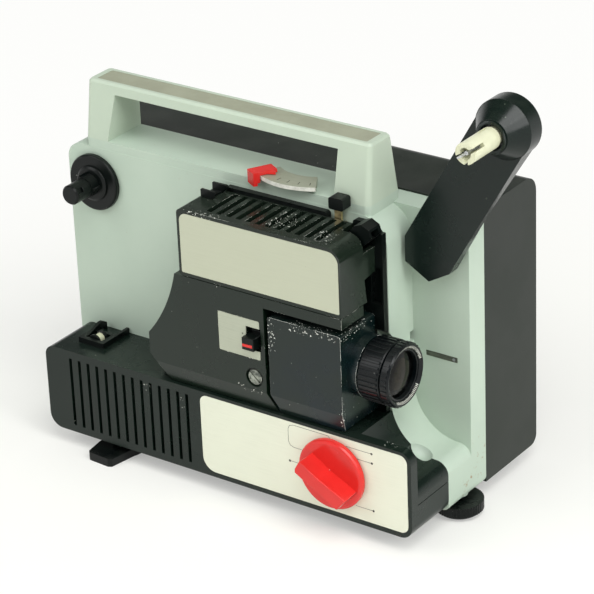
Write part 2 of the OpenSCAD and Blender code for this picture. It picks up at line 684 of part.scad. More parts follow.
// The lever's arm lies under the shell's roof, its web comes up behind the scale,
// and its tab reaches round the scale's front edge
module speed_lever() color(red) placed() translate([lever_at[0], lever_at[1], plinth_z])
    rotate([0, 0, lever_angle]) {
        top = scale_z + gap - plinth_z;
        high = lever_z - plinth_z;
        rim = scale_r[1] + 0.4;
        difference() {
            union() {
                rod_z([0, 0], -14.2, -11.8, 5);
                through_x(-1.6, 1.6) polygon([[0, -14], [0, -12], [-web_r[0], -12], [-web_r[0], 1.6],
                    [1 - tab_r, 1.6], [1 - tab_r, 0.5], [-web_r[1], 0.5], [-web_r[1], -14]]);
            }
            rod_z([0, 0], -15, -11, lever_pin_r + fit);
        }
        through_x(-4.2, 4.2) polygon([[-tab_r, -1.2], [-rim - 1.6, -1.2], [-rim - 1.6, 0.4], [-rim, 0.4],
            [-rim, top], [-29.5, top], [-29.5, high], [-tab_r, high]]);
        translate([0, 0, top + 0.2]) linear_extrude(high - top - 0.4)
            polygon([[3, -38.2], [7.5, -32], [3, -29.8]]);
    }

// Film way out and film cutter
module exit_guide() color(black) placed() difference() {
    union() {
        box([-249, exit_y[0] - 2.9, base_h], [-229.8, exit_y[1] + 2.5, base_h + 3.6]);
        box([-231.8, exit_y[0] - 2.9, base_h], [-229.8, base_d - 0.5, base_h + 3.6]);
        through_x(-247.5, -245.5) translate([0, base_h])
            polygon([[18, 3], [exit_y[1] + 2, 3], [base_d - 2.5, 0], [base_d - 2.5, 4.6], [32, 6.9],
                     [29.5, 6.9]]);
    }
    box([-245.5, exit_y[0], base_h - over], [-233, exit_y[1], base_h + 12]);
    rod_y(roller_at, exit_y[0] - 1.8, exit_y[1] + 1.5, exit_pin_r);
}

module exit_pin() color(steel) placed() rod_y(roller_at, exit_y[0] - 1.8, exit_y[1] + 1.5, exit_pin_r);

module exit_roller() color(cream) placed() translate([roller_at[0], exit_y[0], roller_at[1]])
    rotate([-90, 0, 0]) rotate_extrude() polygon([[exit_pin_r + fit, 0.4], [4.2, 0.4], [4.2, 1.8], [3, 2.6],
        [3, 6.4], [4.2, 7.2], [4.2, 8.6], [exit_pin_r + fit, 8.6]]);

module film_cutter() color(steel) placed() difference() {
    box([cutter_x[0], recess_y - 0.1, cutter_z[0]], [cutter_x[1], recess_y + 0.6, cutter_z[1]]);
    rod_y([cutter_x[1] - 2.2, cutter_z[0] + 1.6], recess_y - over, recess_y + 0.2, 1.1);
}

// Supply arm
module in_arm() translate(arm_pivot_at) rotate(arm_angle) children();

module supply_arm() color(base_grey) placed() difference() {
    union() {
        through_y(arm_y[0], arm_y[1] - 2.5) in_arm() {
            polygon([[-16.3, -9.1], [-2.7, -arm_half], [arm_len, -arm_half],
                     [arm_len, arm_half], [-2.7, arm_half], [-16.3, 9.1]]);
            translate([arm_len, 0]) circle(head_r);
        }
        through_y(arm_y[1] - 2.5, arm_y[1]) in_arm() {
            translate([0, -arm_half]) square([arm_len, 2 * arm_half]);
            circle(head_r);
            translate([arm_len, 0]) circle(head_r);
        }
        translate([spindle_at[0], arm_y[0], spindle_at[1]]) rotate([90, 0, 0]) {
            cylinder(h = 11.5, r1 = head_r - 0.2, r2 = 10);
            cylinder(h = boss_len, r = 9.5);
        }
    }
    rod_y(spindle_at, arm_y[0] - 14, arm_y[1] + over, 4 + fit);
    rod_y(spindle_at, arm_y[0] - 14, arm_y[0] - boss_well, supply_r + 1.3);
    rod_y(arm_pivot_at, arm_y[1] - 8, arm_y[1] + over, pivot_r + fit);
}

module arm_pivot() color(steel) placed() {
    rod_y(arm_pivot_at, arm_y[1] - 7.7, recess_y + wall, pivot_r);
    rod_y(arm_pivot_at, recess_y + wall, recess_y + wall + 3, pivot_r + 4);
}

module supply_spindle() color(cream) placed() difference() {
    union() {
        rod_y(spindle_at, tip_y, arm_y[0] - boss_len - 0.2, supply_r);
        rod_y(spindle_at, tip_y + 23, arm_y[0] - boss_well - gap, supply_r - 0.7);
        rod_y(spindle_at, tip_y + 23, arm_y[1] - 1, 4);
    }
    rod_y(spindle_at, tip_y - over, tip_y + 15, 3.4);
    for (a = [85, 150, 330]) rotate_at_y(spindle_at, a) box([3, tip_y - over, -1.1], [8, tip_y + 10, 1.1]);
    rotate_at_y(spindle_at, 255) box([4.6, tip_y + 15, -1.1], [8, tip_y + 23, 1.1]);
}

module spindle_clip() color(steel) placed() {
    rod_y(spindle_at, tip_y + 12, tip_y + 15, 3.4);
    rod_y(spindle_at, tip_y + 1, tip_y + 13, 1.2);
    rotate_at_y(spindle_at, 150) box([0, tip_y - 4, -0.5], [3.2, tip_y + 9, 0.5]);
}

// Take-up drive
module take_up_spindle() color(black) placed() difference() {
    union() {
        translate([take_up_at[0], 0, take_up_at[1]]) rotate([-90, 0, 0]) rotate(45) rotate_extrude()
            polygon([[0, 13], [take_up_r - 0.8, 13], [take_up_r, 14], [take_up_r, key_y],
                     [take_up_r + 0.6, key_y], [take_up_r + 0.6, 32.6], [9.6, 32.6], [11.2, 33.6],
                     [11.2, 34.6], [17, 34.6], [17.8, 35.4], [17.8, 38.2], [shaft_r, 38.2],
                     [shaft_r, 67], [0, 67]]);
        for (a = [0:120:240]) rotate_at_y(take_up_at, a)
            box([take_up_r - 1, key_y + 0.4, -0.9], [take_up_r + 1.6, 33, 0.9]);
    }
    // Window near the tip
    rotate_at_y(take_up_at, -30) box([take_up_r - 1.4, 15, -1.6], [take_up_r + over, 19.3, 1.6]);
}

module take_up_bush() color(brass) placed() difference() {
    union() {
        rod_y(take_up_at, shell_y + 0.2, 52, 5);
        rod_y(take_up_at, shell_y + wall, shell_y + wall + 2, 8);
    }
    rod_y(take_up_at, shell_y - over, 53, shaft_r + fit);
}

module take_up_pulley() color(steel) placed() translate([take_up_at[0], take_up_belt_y, take_up_at[1]])
    rotate([-90, 0, 0]) rotate_extrude() grooved(shaft_r, take_up_pulley_r, 3, 4);

module take_up_belt() color(rubber) placed() through_y(take_up_belt_y - 1.6, take_up_belt_y + 1.6)
    belt_loop(take_up_at, take_up_pulley_r, sprocket_at, sprocket_pulley_r);

module sprocket_shaft() color(steel) placed() {
    rod_y(sprocket_at, 18, 68, shaft_r);
    rod_y(sprocket_at, axis_y - 5, axis_y + 5, 8);
    for (a = [0:30:330]) rotate_at_y(sprocket_at, a) box([7, axis_y - 4.6, -0.5], [9, axis_y - 3.6, 0.5]);
    translate([sprocket_at[0], take_up_belt_y, sprocket_at[1]]) rotate([-90, 0, 0]) rotate_extrude()
        grooved(0, sprocket_pulley_r, 3, 4);
    // Worm wheel over the main shaft's worm
    rod_y(sprocket_at, shaft_at[0] - 3, shaft_at[0] + 3, sprocket_at[1] - shaft_at[1] - 5 - gap);
}

// Motor and main shaft
module motor() color(steel) placed() difference() {
    union() {
        rod_x(motor_at, -212, -168, 20);
        rod_x(motor_at, -216, -164, 6);
        box([-206, chassis_y + chassis_t, motor_at[1] - 12], [-174, motor_at[0], motor_at[1] + 12]);
    }
    rod_x(motor_at, -217, -163, 2 + fit);
}

module motor_rotor() color(brass) placed() {
    rod_x(motor_at, -232, pulley_x + 6, 2);
    translate([pulley_x, motor_at[0], motor_at[1]]) rotate([0, 90, 0]) rotate_extrude()
        grooved(0, motor_pulley_r, pulley_rim, 4);
}

module cooling_fan() color(black) placed() difference() {
    union() {
        rod_x(motor_at, -234, -219, 7);
        rod_x(motor_at, -221, -219, 23);
        for (a = [0:30:330]) translate([0, motor_at[0], motor_at[1]]) rotate([a, 0, 0])
            box([-233, 12, -0.6], [-220, 22.5, 0.6]);
    }
    rod_x(motor_at, -232, -218, 2);
}

module main_shaft() color(steel) placed() {
    rod_x(shaft_at, -166, -52, shaft_r);
    translate([pulley_x, shaft_at[0], shaft_at[1]]) rotate([0, 90, 0]) rotate_extrude()
        grooved(0, drive_r, pulley_rim, 4);
    rod_x(shaft_at, sprocket_at[0] - 14, sprocket_at[0] + 14, 5);
}

module shutter() color(black) placed() difference() {
    union() {
        rod_x(shaft_at, -115, -113.6, shutter_r);
        rod_x(shaft_at, -120, -113.6, 7);
    }
    rod_x(shaft_at, -121, -113, shaft_r);
    for (a = [0:120:240]) translate([0, shaft_at[0], shaft_at[1]]) rotate([a, 0, 0])
        translate([-116, 0, 0]) rotate([90, 0, 90]) linear_extrude(3) sector(16, shutter_r + over, -22, 22);
}

module shaft_brackets() color(steel) placed() for (x = [-162, -100]) difference() {
    union() {
        box([x, shaft_at[0] - 8.2, axis_z - 9], [x + 4, chassis_y, axis_z + 9]);
        box([x, chassis_y - 2, axis_z - 14], [x + 10, chassis_y, axis_z + 14]);
    }
    rod_x(shaft_at, x - over, x + 5, shaft_r + fit);
}

module drive_belt() color(rubber) placed() through_x(pulley_x - 1.8, pulley_x + 1.8)
    belt_loop(shaft_at, drive_r, motor_at, motor_pulley_r);

module transformer() color(steel) placed() {
    box([-96, chassis_y + chassis_t, 10], [-40, chassis_y + 44, 56]);
    color(brass) box([-88, chassis_y + 5, 4.5], [-48, chassis_y + 41, 61.5]);
}

// Feet
module swing_foot() color(black) placed() difference() {
    union() {
        rod_z(swing_at, -foot_h, -gap, 2.5 * swing_r);
        translate([swing_at[0], swing_at[1], -foot_h]) linear_extrude(swing_t) {
            circle(12.9);
            polygon([[-12.7, 0], [-12.5, -7], [-10.4, -22.2], [-9, -23.6], [6.2, -24.6], [8.3, -23.4],
                     [12.6, 0]]);
        }
    }
    rod_z(swing_at, -foot_h - over, over, swing_r + fit);
}

module level_foot() color(rubber) placed() {
    rod_z(level_at, -foot_h + 0.8, 22, stud_r);
    rod_z(level_at, -foot_h, -foot_h + 0.9, 8);
}

module level_wheel() color(black) placed() difference() {
    union() {
        rod_z(level_at, -foot_h + 3.2, -1.6, wheel_r);
        translate([level_at[0], level_at[1], -foot_h + 1.2])
            cylinder(h = 3, r1 = wheel_r - 2.5, r2 = wheel_r - 0.6);
    }
    rod_z(level_at, -foot_h, 0, stud_r + fit);
    for (a = [0:7.5:359]) translate([level_at[0], level_at[1], -foot_h]) rotate([0, 0, a])
        translate([wheel_r + 0.25, 0, 0]) cylinder(h = foot_h, r = 0.6, $fn = 12);
}

base_housing();
control_plate();
main_shell();
handle();
handle_inlay();
rear_cover();
chassis_plate();
lamp_bulkhead();
gate_panel();
format_plate();
panel_screw();
lens_block();
lens_barrel();
aperture_plate();
pressure_plate();
lamp_socket();
lamp_bulb();
lamp_reflector();
filter_holder();
heat_filter();
rewind_guide();
exit_guide();
exit_pin();
exit_roller();
film_cutter();
speed_scale();
speed_lever();
framing_button();
format_slider();
mode_knob();
rotary_switch();
zoom_ring();
lens_cell();
lens_glass();
focus_ring();
lamp_cover();
lamp_cover_plate();
supply_arm();
arm_pivot();
supply_spindle();
spindle_clip();
take_up_spindle();
take_up_bush();
take_up_pulley();
take_up_belt();
drive_belt();
motor();
motor_rotor();
cooling_fan();
main_shaft();
shutter();
shaft_brackets();
sprocket_shaft();
transformer();
mains_inlet();
cover_screws();
rubber_feet();
swing_foot();
level_foot();
level_wheel();
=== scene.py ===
"""Looks of a small film projector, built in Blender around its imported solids.

Every length in the classes below is in millimetres, measured as in the part's own
source: from the lower right front corner of the dark base, lens towards +X, controls
towards -Y, +Z up. Bench.place() turns such a point into the shared frame, in metres.
"""

import json
import logging
import math
from dataclasses import dataclass, field
from enum import Enum
from typing import Callable, ClassVar, Sequence

import bmesh
import bpy
from mathutils import Matrix, Vector

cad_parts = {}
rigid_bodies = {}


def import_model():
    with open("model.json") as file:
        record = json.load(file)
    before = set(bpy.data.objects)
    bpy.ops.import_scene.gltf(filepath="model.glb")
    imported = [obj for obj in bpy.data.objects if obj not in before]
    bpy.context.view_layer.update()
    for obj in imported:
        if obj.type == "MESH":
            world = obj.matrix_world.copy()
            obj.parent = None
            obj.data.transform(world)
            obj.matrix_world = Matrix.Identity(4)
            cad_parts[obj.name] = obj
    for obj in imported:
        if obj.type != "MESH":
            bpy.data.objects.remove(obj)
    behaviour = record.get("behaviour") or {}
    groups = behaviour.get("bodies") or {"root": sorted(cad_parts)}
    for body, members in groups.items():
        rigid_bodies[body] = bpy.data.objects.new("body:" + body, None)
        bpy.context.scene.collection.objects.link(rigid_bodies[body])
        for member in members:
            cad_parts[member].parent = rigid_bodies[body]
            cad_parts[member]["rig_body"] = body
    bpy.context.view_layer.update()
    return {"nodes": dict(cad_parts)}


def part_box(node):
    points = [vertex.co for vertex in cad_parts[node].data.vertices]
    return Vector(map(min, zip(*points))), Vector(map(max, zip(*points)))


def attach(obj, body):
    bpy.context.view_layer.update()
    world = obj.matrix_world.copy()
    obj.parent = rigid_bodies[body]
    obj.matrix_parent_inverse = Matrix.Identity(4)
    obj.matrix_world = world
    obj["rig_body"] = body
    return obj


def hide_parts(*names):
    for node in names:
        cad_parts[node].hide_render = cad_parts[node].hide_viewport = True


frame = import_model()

LOG = logging.getLogger("projector")
MM = 0.001

# Corners this near to each other are one, in metres.
WELD = 1e-7
# Faces that turn less than this are one flat face.
FLAT_TURN = math.radians(0.25)
# Edges that turn more than this are rounded over.
SHARP_TURN = math.radians(24)
# Shares of a radius that are tried in turn on edges with less room.
STEPS = (1.0, 0.55, 0.3, 0.15)
# How far a neighbour leans away from an edge before it limits the edge's radius.
LEAN = 0.35
# How far to the side a facing edge may lie and still limit the radius.
ASIDE = 0.6
# Share of the way across a face that a radius may take.
ROOM = 0.45
# Slack in comparing radii, in millimetres, and the least squared length to divide by.
SLACK = 1e-6
TINY = 1e-18
# Cosines of the turns over which narrow and broad faces run on as one curve.
CURVE_TURN = math.cos(math.radians(30))
BROAD_TURN = math.cos(math.radians(8))
# Cosine of the turn up to which roundings that meet at a corner are one.
ROUND_TURN = 0.5
# A broad face's area in square metres, and how strongly area pulls a normal.
BROAD = 60e-6
FLAT_PULL = 0.7
# Name of the mesh attribute that marks rounded edges.
WEAR = "worn_edge"
# Sides of a printed or riveted dot, and of a turned ring.
DOT_SIDES = 20
RING_SIDES = 72
# The way the printed front faces look.
FRONT = Vector((0, -1, 0))

# How many dust patches, scuffs and stains go to a metre of plastic.
DUST_SCALE = 42.0
SCUFF_SCALE = 180.0
STAIN_SCALE = 260.0
# Size of a chip in a rubbed place, in millimetres, and how many there are.
RUB_SIZE = 1.2
RUB_AMOUNT = 0.36
# Roughness of a glossy coat, and what scuffs and dust add to a skin's own.
COAT_ROUGH = 0.12
SCUFF_ROUGH = 0.18
DUST_ROUGH = 0.5

Tone = tuple[int, int, int]
Spot = tuple[float, float, float]
Flat = tuple[float, float]


def linear(tone: Tone) -> tuple[float, float, float, float]:
    """Turns a tone as seen on a screen into the linear colour that a shader takes.

    Args:
        tone: Red, green and blue from 0 to 255.

    Returns:
        Linear red, green, blue and an alpha of 1.
    """
    parts = [c / 255 for c in tone]
    curve = [c / 12.92 if c <= 0.04045 else ((c + 0.055) / 1.055) ** 2.4 for c in parts]
    return (curve[0], curve[1], curve[2], 1.0)


def stand(name: str, data: bpy.types.ID) -> bpy.types.Object:
    """Makes an object from its data and puts it in the scene.

    Args:
        name: The object's name.
        data: Its mesh, camera or lamp.

    Returns:
        The object.
    """
    made = bpy.data.objects.new(name, data)
    bpy.context.scene.collection.objects.link(made)
    return made


class Wiring:
    """Adds nodes to one shader tree and links them."""

    def __init__(self, tree: bpy.types.NodeTree) -> None:
        """Keeps the tree that the nodes go into."""
        self.tree = tree

    @classmethod
    def afresh(cls, owner: bpy.types.Material | bpy.types.World) -> "Wiring":
        """Gives a material or the world an empty tree.

        Args:
            owner: The material or world.

        Returns:
            The wiring of its tree.
        """
        owner.use_nodes = True
        owner.node_tree.nodes.clear()
        return cls(owner.node_tree)

    def node(self, kind: str, **inputs: object) -> bpy.types.Node:
        """Adds one node.

        Args:
            kind: Name of the node's class, without the leading ShaderNode.
            **inputs: Values or sockets for inputs, by name, with _ for a space.

        Returns:
            The new node.
        """
        made = self.tree.nodes.new("ShaderNode" + kind)
        for name, value in inputs.items():
            self.feed(value, made.inputs[name.replace("_", " ")])
        return made

    def feed(self, value: object, target: bpy.types.NodeSocket) -> None:
        """Links a socket to an input, or sets a plain value on it.

        Args:
            value: The socket or the value.
            target: The input.
        """
        if isinstance(value, bpy.types.NodeSocket):
            self.tree.links.new(value, target)
        else:
            target.default_value = value

    def leave(self, shader: bpy.types.Node, kind: str = "OutputMaterial") -> None:
        """Links a shader to a new output node."""
        self.feed(shader.outputs[0], self.node(kind).inputs["Surface"])

    def mix(self, factor: object, low: object, high: object) -> bpy.types.NodeSocket:
        """Blends two colours.

        Args:
            factor: Share of the second colour, a socket or a number.
            low: Colour where the factor is 0.
            high: Colour where the factor is 1.

        Returns:
            The blended colour's socket.
        """
        made = self.node("Mix")
        made.data_type = "RGBA"
        self.feed(factor, made.inputs[0])
        self.feed(low, made.inputs[6])
        self.feed(high, made.inputs[7])
        return made.outputs[2]

    def span(self, value: object, start: object, end: object, low: float = 0.0,
             high: float = 1.0) -> bpy.types.NodeSocket:
        """Maps a value smoothly from one span onto another, with its ends held.

        Args:
            value: The value's socket.
            start: Where the first span starts.
            end: Where the first span ends.
            low: What the start becomes.
            high: What the end becomes.

        Returns:
            The mapped value's socket.
        """
        made = self.node("MapRange")
        made.interpolation_type = "SMOOTHSTEP"
        for socket, given in zip(made.inputs[:5], (value, start, end, low, high)):
            self.feed(given, socket)
        return made.outputs[0]

    def math(self, operation: str, *values: object) -> bpy.types.NodeSocket:
        """Adds a Math node.

        Args:
            operation: What it does.
            *values: Its inputs, sockets or numbers.

        Returns:
            Its output.
        """
        made = self.node("Math")
        made.operation = operation
        for socket, given in zip(made.inputs, values):
            self.feed(given, socket)
        return made.outputs[0]

    def vector(self, operation: str, *values: object) -> bpy.types.Node:
        """Adds a Vector Math node.

        Args:
            operation: What it does.
            *values: Its inputs, sockets or vectors.

        Returns:
            The new node.
        """
        made = self.node("VectorMath")
        made.operation = operation
        for socket, given in zip(made.inputs, values):
            self.feed(given, socket)
        return made

    def weigh(self, first: tuple[object, float], second: tuple[object, float]) -> bpy.types.NodeSocket:
        """Adds two values, each a socket with its weight."""
        return self.math("ADD", self.math("MULTIPLY", *first), self.math("MULTIPLY", *second))

    def over(self, value: object, level: object, edge: float) -> bpy.types.NodeSocket:
        """Marks where a value passes a level, with an edge that fades."""
        return self.span(value, start=level, end=self.math("ADD", level, edge))

    def emboss(self, shader: bpy.types.Node, height: object, depth: float) -> None:
        """Gives a shader a relief of so many millimetres."""
        bump = self.node("Bump", Strength=1.0, Distance=depth * MM, Height=height)
        self.feed(bump.outputs[0], shader.inputs["Normal"])

    def noise(self, vector: object, scale: object, detail: float, rough: float) -> bpy.types.NodeSocket:
        """Adds a noise texture and returns its value."""
        made = self.node("TexNoise", Vector=vector, Scale=scale, Detail=detail, Roughness=rough)
        return made.outputs[0]


class Effect(Enum):
    """Effects that several finishes share, each a node group."""

    GRAIN = "moulded_grain"
    WEAR = "edge_wear"
    DUST = "settled_dust"
    SCUFF = "fine_scuffs"
    STAIN = "brown_stains"
    BRUSH = "brushed_lines"
    RUB = "rubbed_place"


class Slot(Enum):
    """The record's material slots."""

    BASE = "base_plastic"
    SHELL = "shell_plastic"
    HANDLE = "handle_plastic"
    INLAY = "inlay"
    COVER = "cover_plastic"
    BLACK = "black_plastic"
    BLOCK = "block_metal"
    LENS = "lens_black"
    RED = "red_plastic"
    PLATE = "plate_silver"
    CREAM = "cream_plastic"
    STEEL = "steel"
    BRASS = "brass"
    RUBBER = "rubber"
    GLASS = "glass"


class Effects:
    """Builds each shared effect once, as a node group with named sockets."""

    # Scale of the clusters in which marks come, as a share of the marks' own.
    chip_cluster = 0.11
    scuff_cluster = 0.15
    stain_cluster = 0.06
    # Scale of dust specks beside the film's own, and how far the film covers.
    speck_scale = 7.0
    film_cover = 0.3
    # How softly marks end.
    chip_edge = 0.025
    scuff_edge = 0.012
    stain_edge = 0.06
    rub_edge = 0.015
    # How marks are drawn out along a piece's axes.
    scuff_ways = ((0.12, 1.0, 0.5), (1.0, 0.5, 0.1))
    brush_way = (0.03, 1.0, 1.0)

    def __init__(self) -> None:
        """Builds all the groups."""
        self.groups: dict[Effect, bpy.types.NodeTree] = {}
        for build in (self._grain, self._wear, self._dust, self._scuff, self._stain, self._brush,
                      self._rub):
            build()

    def _blank(self, effect: Effect, inputs: Sequence[str], outputs: Sequence[str],
               spots: Sequence[str] = ()
               ) -> tuple[Wiring, dict[str, bpy.types.NodeSocket], bpy.types.Node]:
        """Starts a group with its sockets.

        Args:
            effect: Which effect the group is.
            inputs: Names of the number inputs, after the Vector input.
            outputs: Names of the number outputs.
            spots: Names of further vector inputs.

        Returns:
            The wiring, the input sockets by name, and the output node.
        """
        tree = bpy.data.node_groups.new(effect.value, "ShaderNodeTree")
        self.groups[effect] = tree
        for name in ("Vector", *spots):
            tree.interface.new_socket(name, in_out="INPUT", socket_type="NodeSocketVector")
        for name in inputs:
            tree.interface.new_socket(name, in_out="INPUT", socket_type="NodeSocketFloat")
        for name in outputs:
            tree.interface.new_socket(name, in_out="OUTPUT", socket_type="NodeSocketFloat")
        entry = tree.nodes.new("NodeGroupInput")
        leave = tree.nodes.new("NodeGroupOutput")
        return Wiring(tree), {s.name: s for s in entry.outputs if s.name}, leave

    def _grain(self) -> None:
        """Builds the fine relief of a moulded skin, and broad uneven patches."""
        wire, given, leave = self._blank(Effect.GRAIN, ["Grain", "Patch"], ["Height", "Patches"])
        fine = wire.noise(given["Vector"], given["Grain"], detail=2.0, rough=0.6)
        broad = wire.noise(given["Vector"], given["Patch"], detail=4.0, rough=0.6)
        wire.feed(fine, leave.inputs["Height"])
        wire.feed(wire.span(broad, start=0.32, end=0.68), leave.inputs["Patches"])

    def _wear(self) -> None:
        """Builds chips along rounded edges, in clusters."""
        wire, given, leave = self._blank(Effect.WEAR, ["Scale", "Amount"], ["Mask"])
        edge = wire.node("Attribute")
        edge.attribute_name = WEAR
        wide = wire.math("MULTIPLY", given["Scale"], self.chip_cluster)
        chips = wire.noise(given["Vector"], given["Scale"], detail=5.0, rough=0.75)
        cluster = wire.noise(given["Vector"], wide, detail=2.0, rough=0.5)
        both = wire.weigh((chips, 0.5), (cluster, 0.7))
        mask = wire.over(both, wire.math("SUBTRACT", 1.05, given["Amount"]), self.chip_edge)
        wire.feed(wire.math("MULTIPLY", mask, edge.outputs["Fac"]), leave.inputs["Mask"])

    def _dust(self) -> None:
        """Builds a thin film on faces that look up, and pale specks all over."""
        wire, given, leave = self._blank(Effect.DUST, ["Up", "Scale", "Amount"], ["Film", "Specks"])
        patch = wire.noise(given["Vector"], given["Scale"], detail=5.0, rough=0.65)
        up = wire.math("MULTIPLY", wire.span(given["Up"], start=0.35, end=0.95), given["Amount"])
        film = wire.math("MULTIPLY", wire.span(patch, start=0.35, end=0.7), up)
        fine = wire.math("MULTIPLY", given["Scale"], self.speck_scale)
        cells = wire.node("TexVoronoi", Vector=given["Vector"], Scale=fine)
        near = wire.span(cells.outputs["Distance"], start=0.05, end=0.09, low=1.0, high=0.0)
        pick = wire.node("SeparateColor", Color=cells.outputs["Color"])
        rare = wire.span(pick.outputs[0], start=wire.math("SUBTRACT", 1.0, given["Amount"]), end=1.0)
        wire.feed(wire.math("MULTIPLY", film, self.film_cover), leave.inputs["Film"])
        wire.feed(wire.math("MULTIPLY", near, rare), leave.inputs["Specks"])

    def _scuff(self) -> None:
        """Builds short fine rub marks that cross each other."""
        wire, given, leave = self._blank(Effect.SCUFF, ["Scale", "Amount"], ["Mask"])
        lines = []
        for way in self.scuff_ways:
            drawn_out = wire.vector("MULTIPLY", given["Vector"], way).outputs[0]
            drawn = wire.noise(drawn_out, given["Scale"], detail=2.0, rough=0.5)
            off = wire.math("ABSOLUTE", wire.math("SUBTRACT", drawn, 0.5))
            lines.append(wire.span(off, start=0.0, end=self.scuff_edge, low=1.0, high=0.0))
        wide = wire.math("MULTIPLY", given["Scale"], self.scuff_cluster)
        patch = wire.span(wire.noise(given["Vector"], wide, detail=2.0, rough=0.5), start=0.48, end=0.66)
        both = wire.math("MULTIPLY", wire.math("MAXIMUM", *lines), patch)
        wire.feed(wire.math("MULTIPLY", both, given["Amount"]), leave.inputs["Mask"])

    def _stain(self) -> None:
        """Builds small brown spots in a few loose clusters."""
        wire, given, leave = self._blank(Effect.STAIN, ["Scale", "Amount"], ["Mask"])
        wide = wire.math("MULTIPLY", given["Scale"], self.stain_cluster)
        spots = wire.noise(given["Vector"], given["Scale"], detail=4.0, rough=0.7)
        cluster = wire.noise(given["Vector"], wide, detail=2.0, rough=0.5)
        both = wire.weigh((spots, 0.55), (cluster, 0.45))
        level = wire.math("SUBTRACT", 0.72, wire.math("MULTIPLY", given["Amount"], 0.12))
        wire.feed(wire.over(both, level, self.stain_edge), leave.inputs["Mask"])

    def _brush(self) -> None:
        """Builds long fine lines of a brushed or rolled metal face, along X."""
        wire, given, leave = self._blank(Effect.BRUSH, ["Scale"], ["Lines"])
        drawn_out = wire.vector("MULTIPLY", given["Vector"], self.brush_way).outputs[0]
        drawn = wire.noise(drawn_out, given["Scale"], detail=3.0, rough=0.6)
        wire.feed(wire.span(drawn, start=0.3, end=0.7), leave.inputs["Lines"])

    def _rub(self) -> None:
        """Builds clumps of chips within a box, which thin out towards its sides."""
        wire, given, leave = self._blank(Effect.RUB, ["Scale", "Amount"], ["Mask"], ["Middle", "Half"])
        off = wire.vector("SUBTRACT", given["Vector"], given["Middle"])
        share = wire.vector("DIVIDE", off.outputs[0], given["Half"])
        sides = wire.node("SeparateXYZ", Vector=share.outputs[0])
        inside = [wire.span(wire.math("ABSOLUTE", side), start=0.5, end=1.0, low=1.0, high=0.0)
                  for side in sides.outputs]
        inside = wire.math("MULTIPLY", wire.math("MULTIPLY", inside[0], inside[1]), inside[2])
        chips = wire.noise(given["Vector"], given["Scale"], detail=2.0, rough=0.6)
        level = wire.math("SUBTRACT", 1.0, wire.math("MULTIPLY", inside, given["Amount"]))
        wire.feed(wire.over(chips, level, self.rub_edge), leave.inputs["Mask"])

    def put(self, wire: Wiring, effect: Effect, **inputs: object) -> bpy.types.Node:
        """Places a group in a material.

        Args:
            wire: Wiring of the material's tree.
            effect: Which group.
            **inputs: Its own values or sockets, by name.

        Returns:
            The group node.
        """
        made = wire.node("Group")
        made.node_tree = self.groups[effect]
        for name, value in inputs.items():
            wire.feed(value, made.inputs[name])
        return made


@dataclass(frozen=True)
class Finish:
    """What all finishes share: a name, a main tone and how rough it is.

    Attributes:
        uneven: What is added to the roughness where it is lowest and where it is highest.
    """

    name: str
    tone: Tone
    rough: float = 0.45
    uneven: ClassVar[Flat] = (-0.04, 0.05)

    def material(self, effects: Effects) -> bpy.types.Material:
        """Gives the finish's material, which is made the first time.

        Args:
            effects: The shared node groups.

        Returns:
            The material.
        """
        made = bpy.data.materials.get(self.name)
        if made is None:
            made = bpy.data.materials.new(self.name)
            wire = Wiring.afresh(made)
            shader = wire.node("BsdfPrincipled")
            wire.leave(shader)
            self.fill(wire, shader, effects)
        return made

    def fill(self, wire: Wiring, shader: bpy.types.Node, effects: Effects) -> None:
        """Wires the shader. Each kind of finish has its own."""
        raise NotImplementedError

    def gloss(self, wire: Wiring, mask: bpy.types.NodeSocket) -> bpy.types.NodeSocket:
        """Gives a roughness that rises with a mask."""
        low, high = (self.rough + more for more in self.uneven)
        return wire.span(mask, start=0.0, end=1.0, low=low, high=high)

    @staticmethod
    def spot(wire: Wiring) -> tuple[bpy.types.NodeSocket, bpy.types.NodeSocket]:
        """Reads where a point lies on its piece.

        Args:
            wire: Wiring of the material's tree.

        Returns:
            The piece's own coordinates, and how far the face there looks up.
        """
        place = wire.node("TexCoord")
        parts = wire.node("SeparateXYZ", Vector=place.outputs["Normal"])
        return place.outputs["Object"], parts.outputs["Z"]


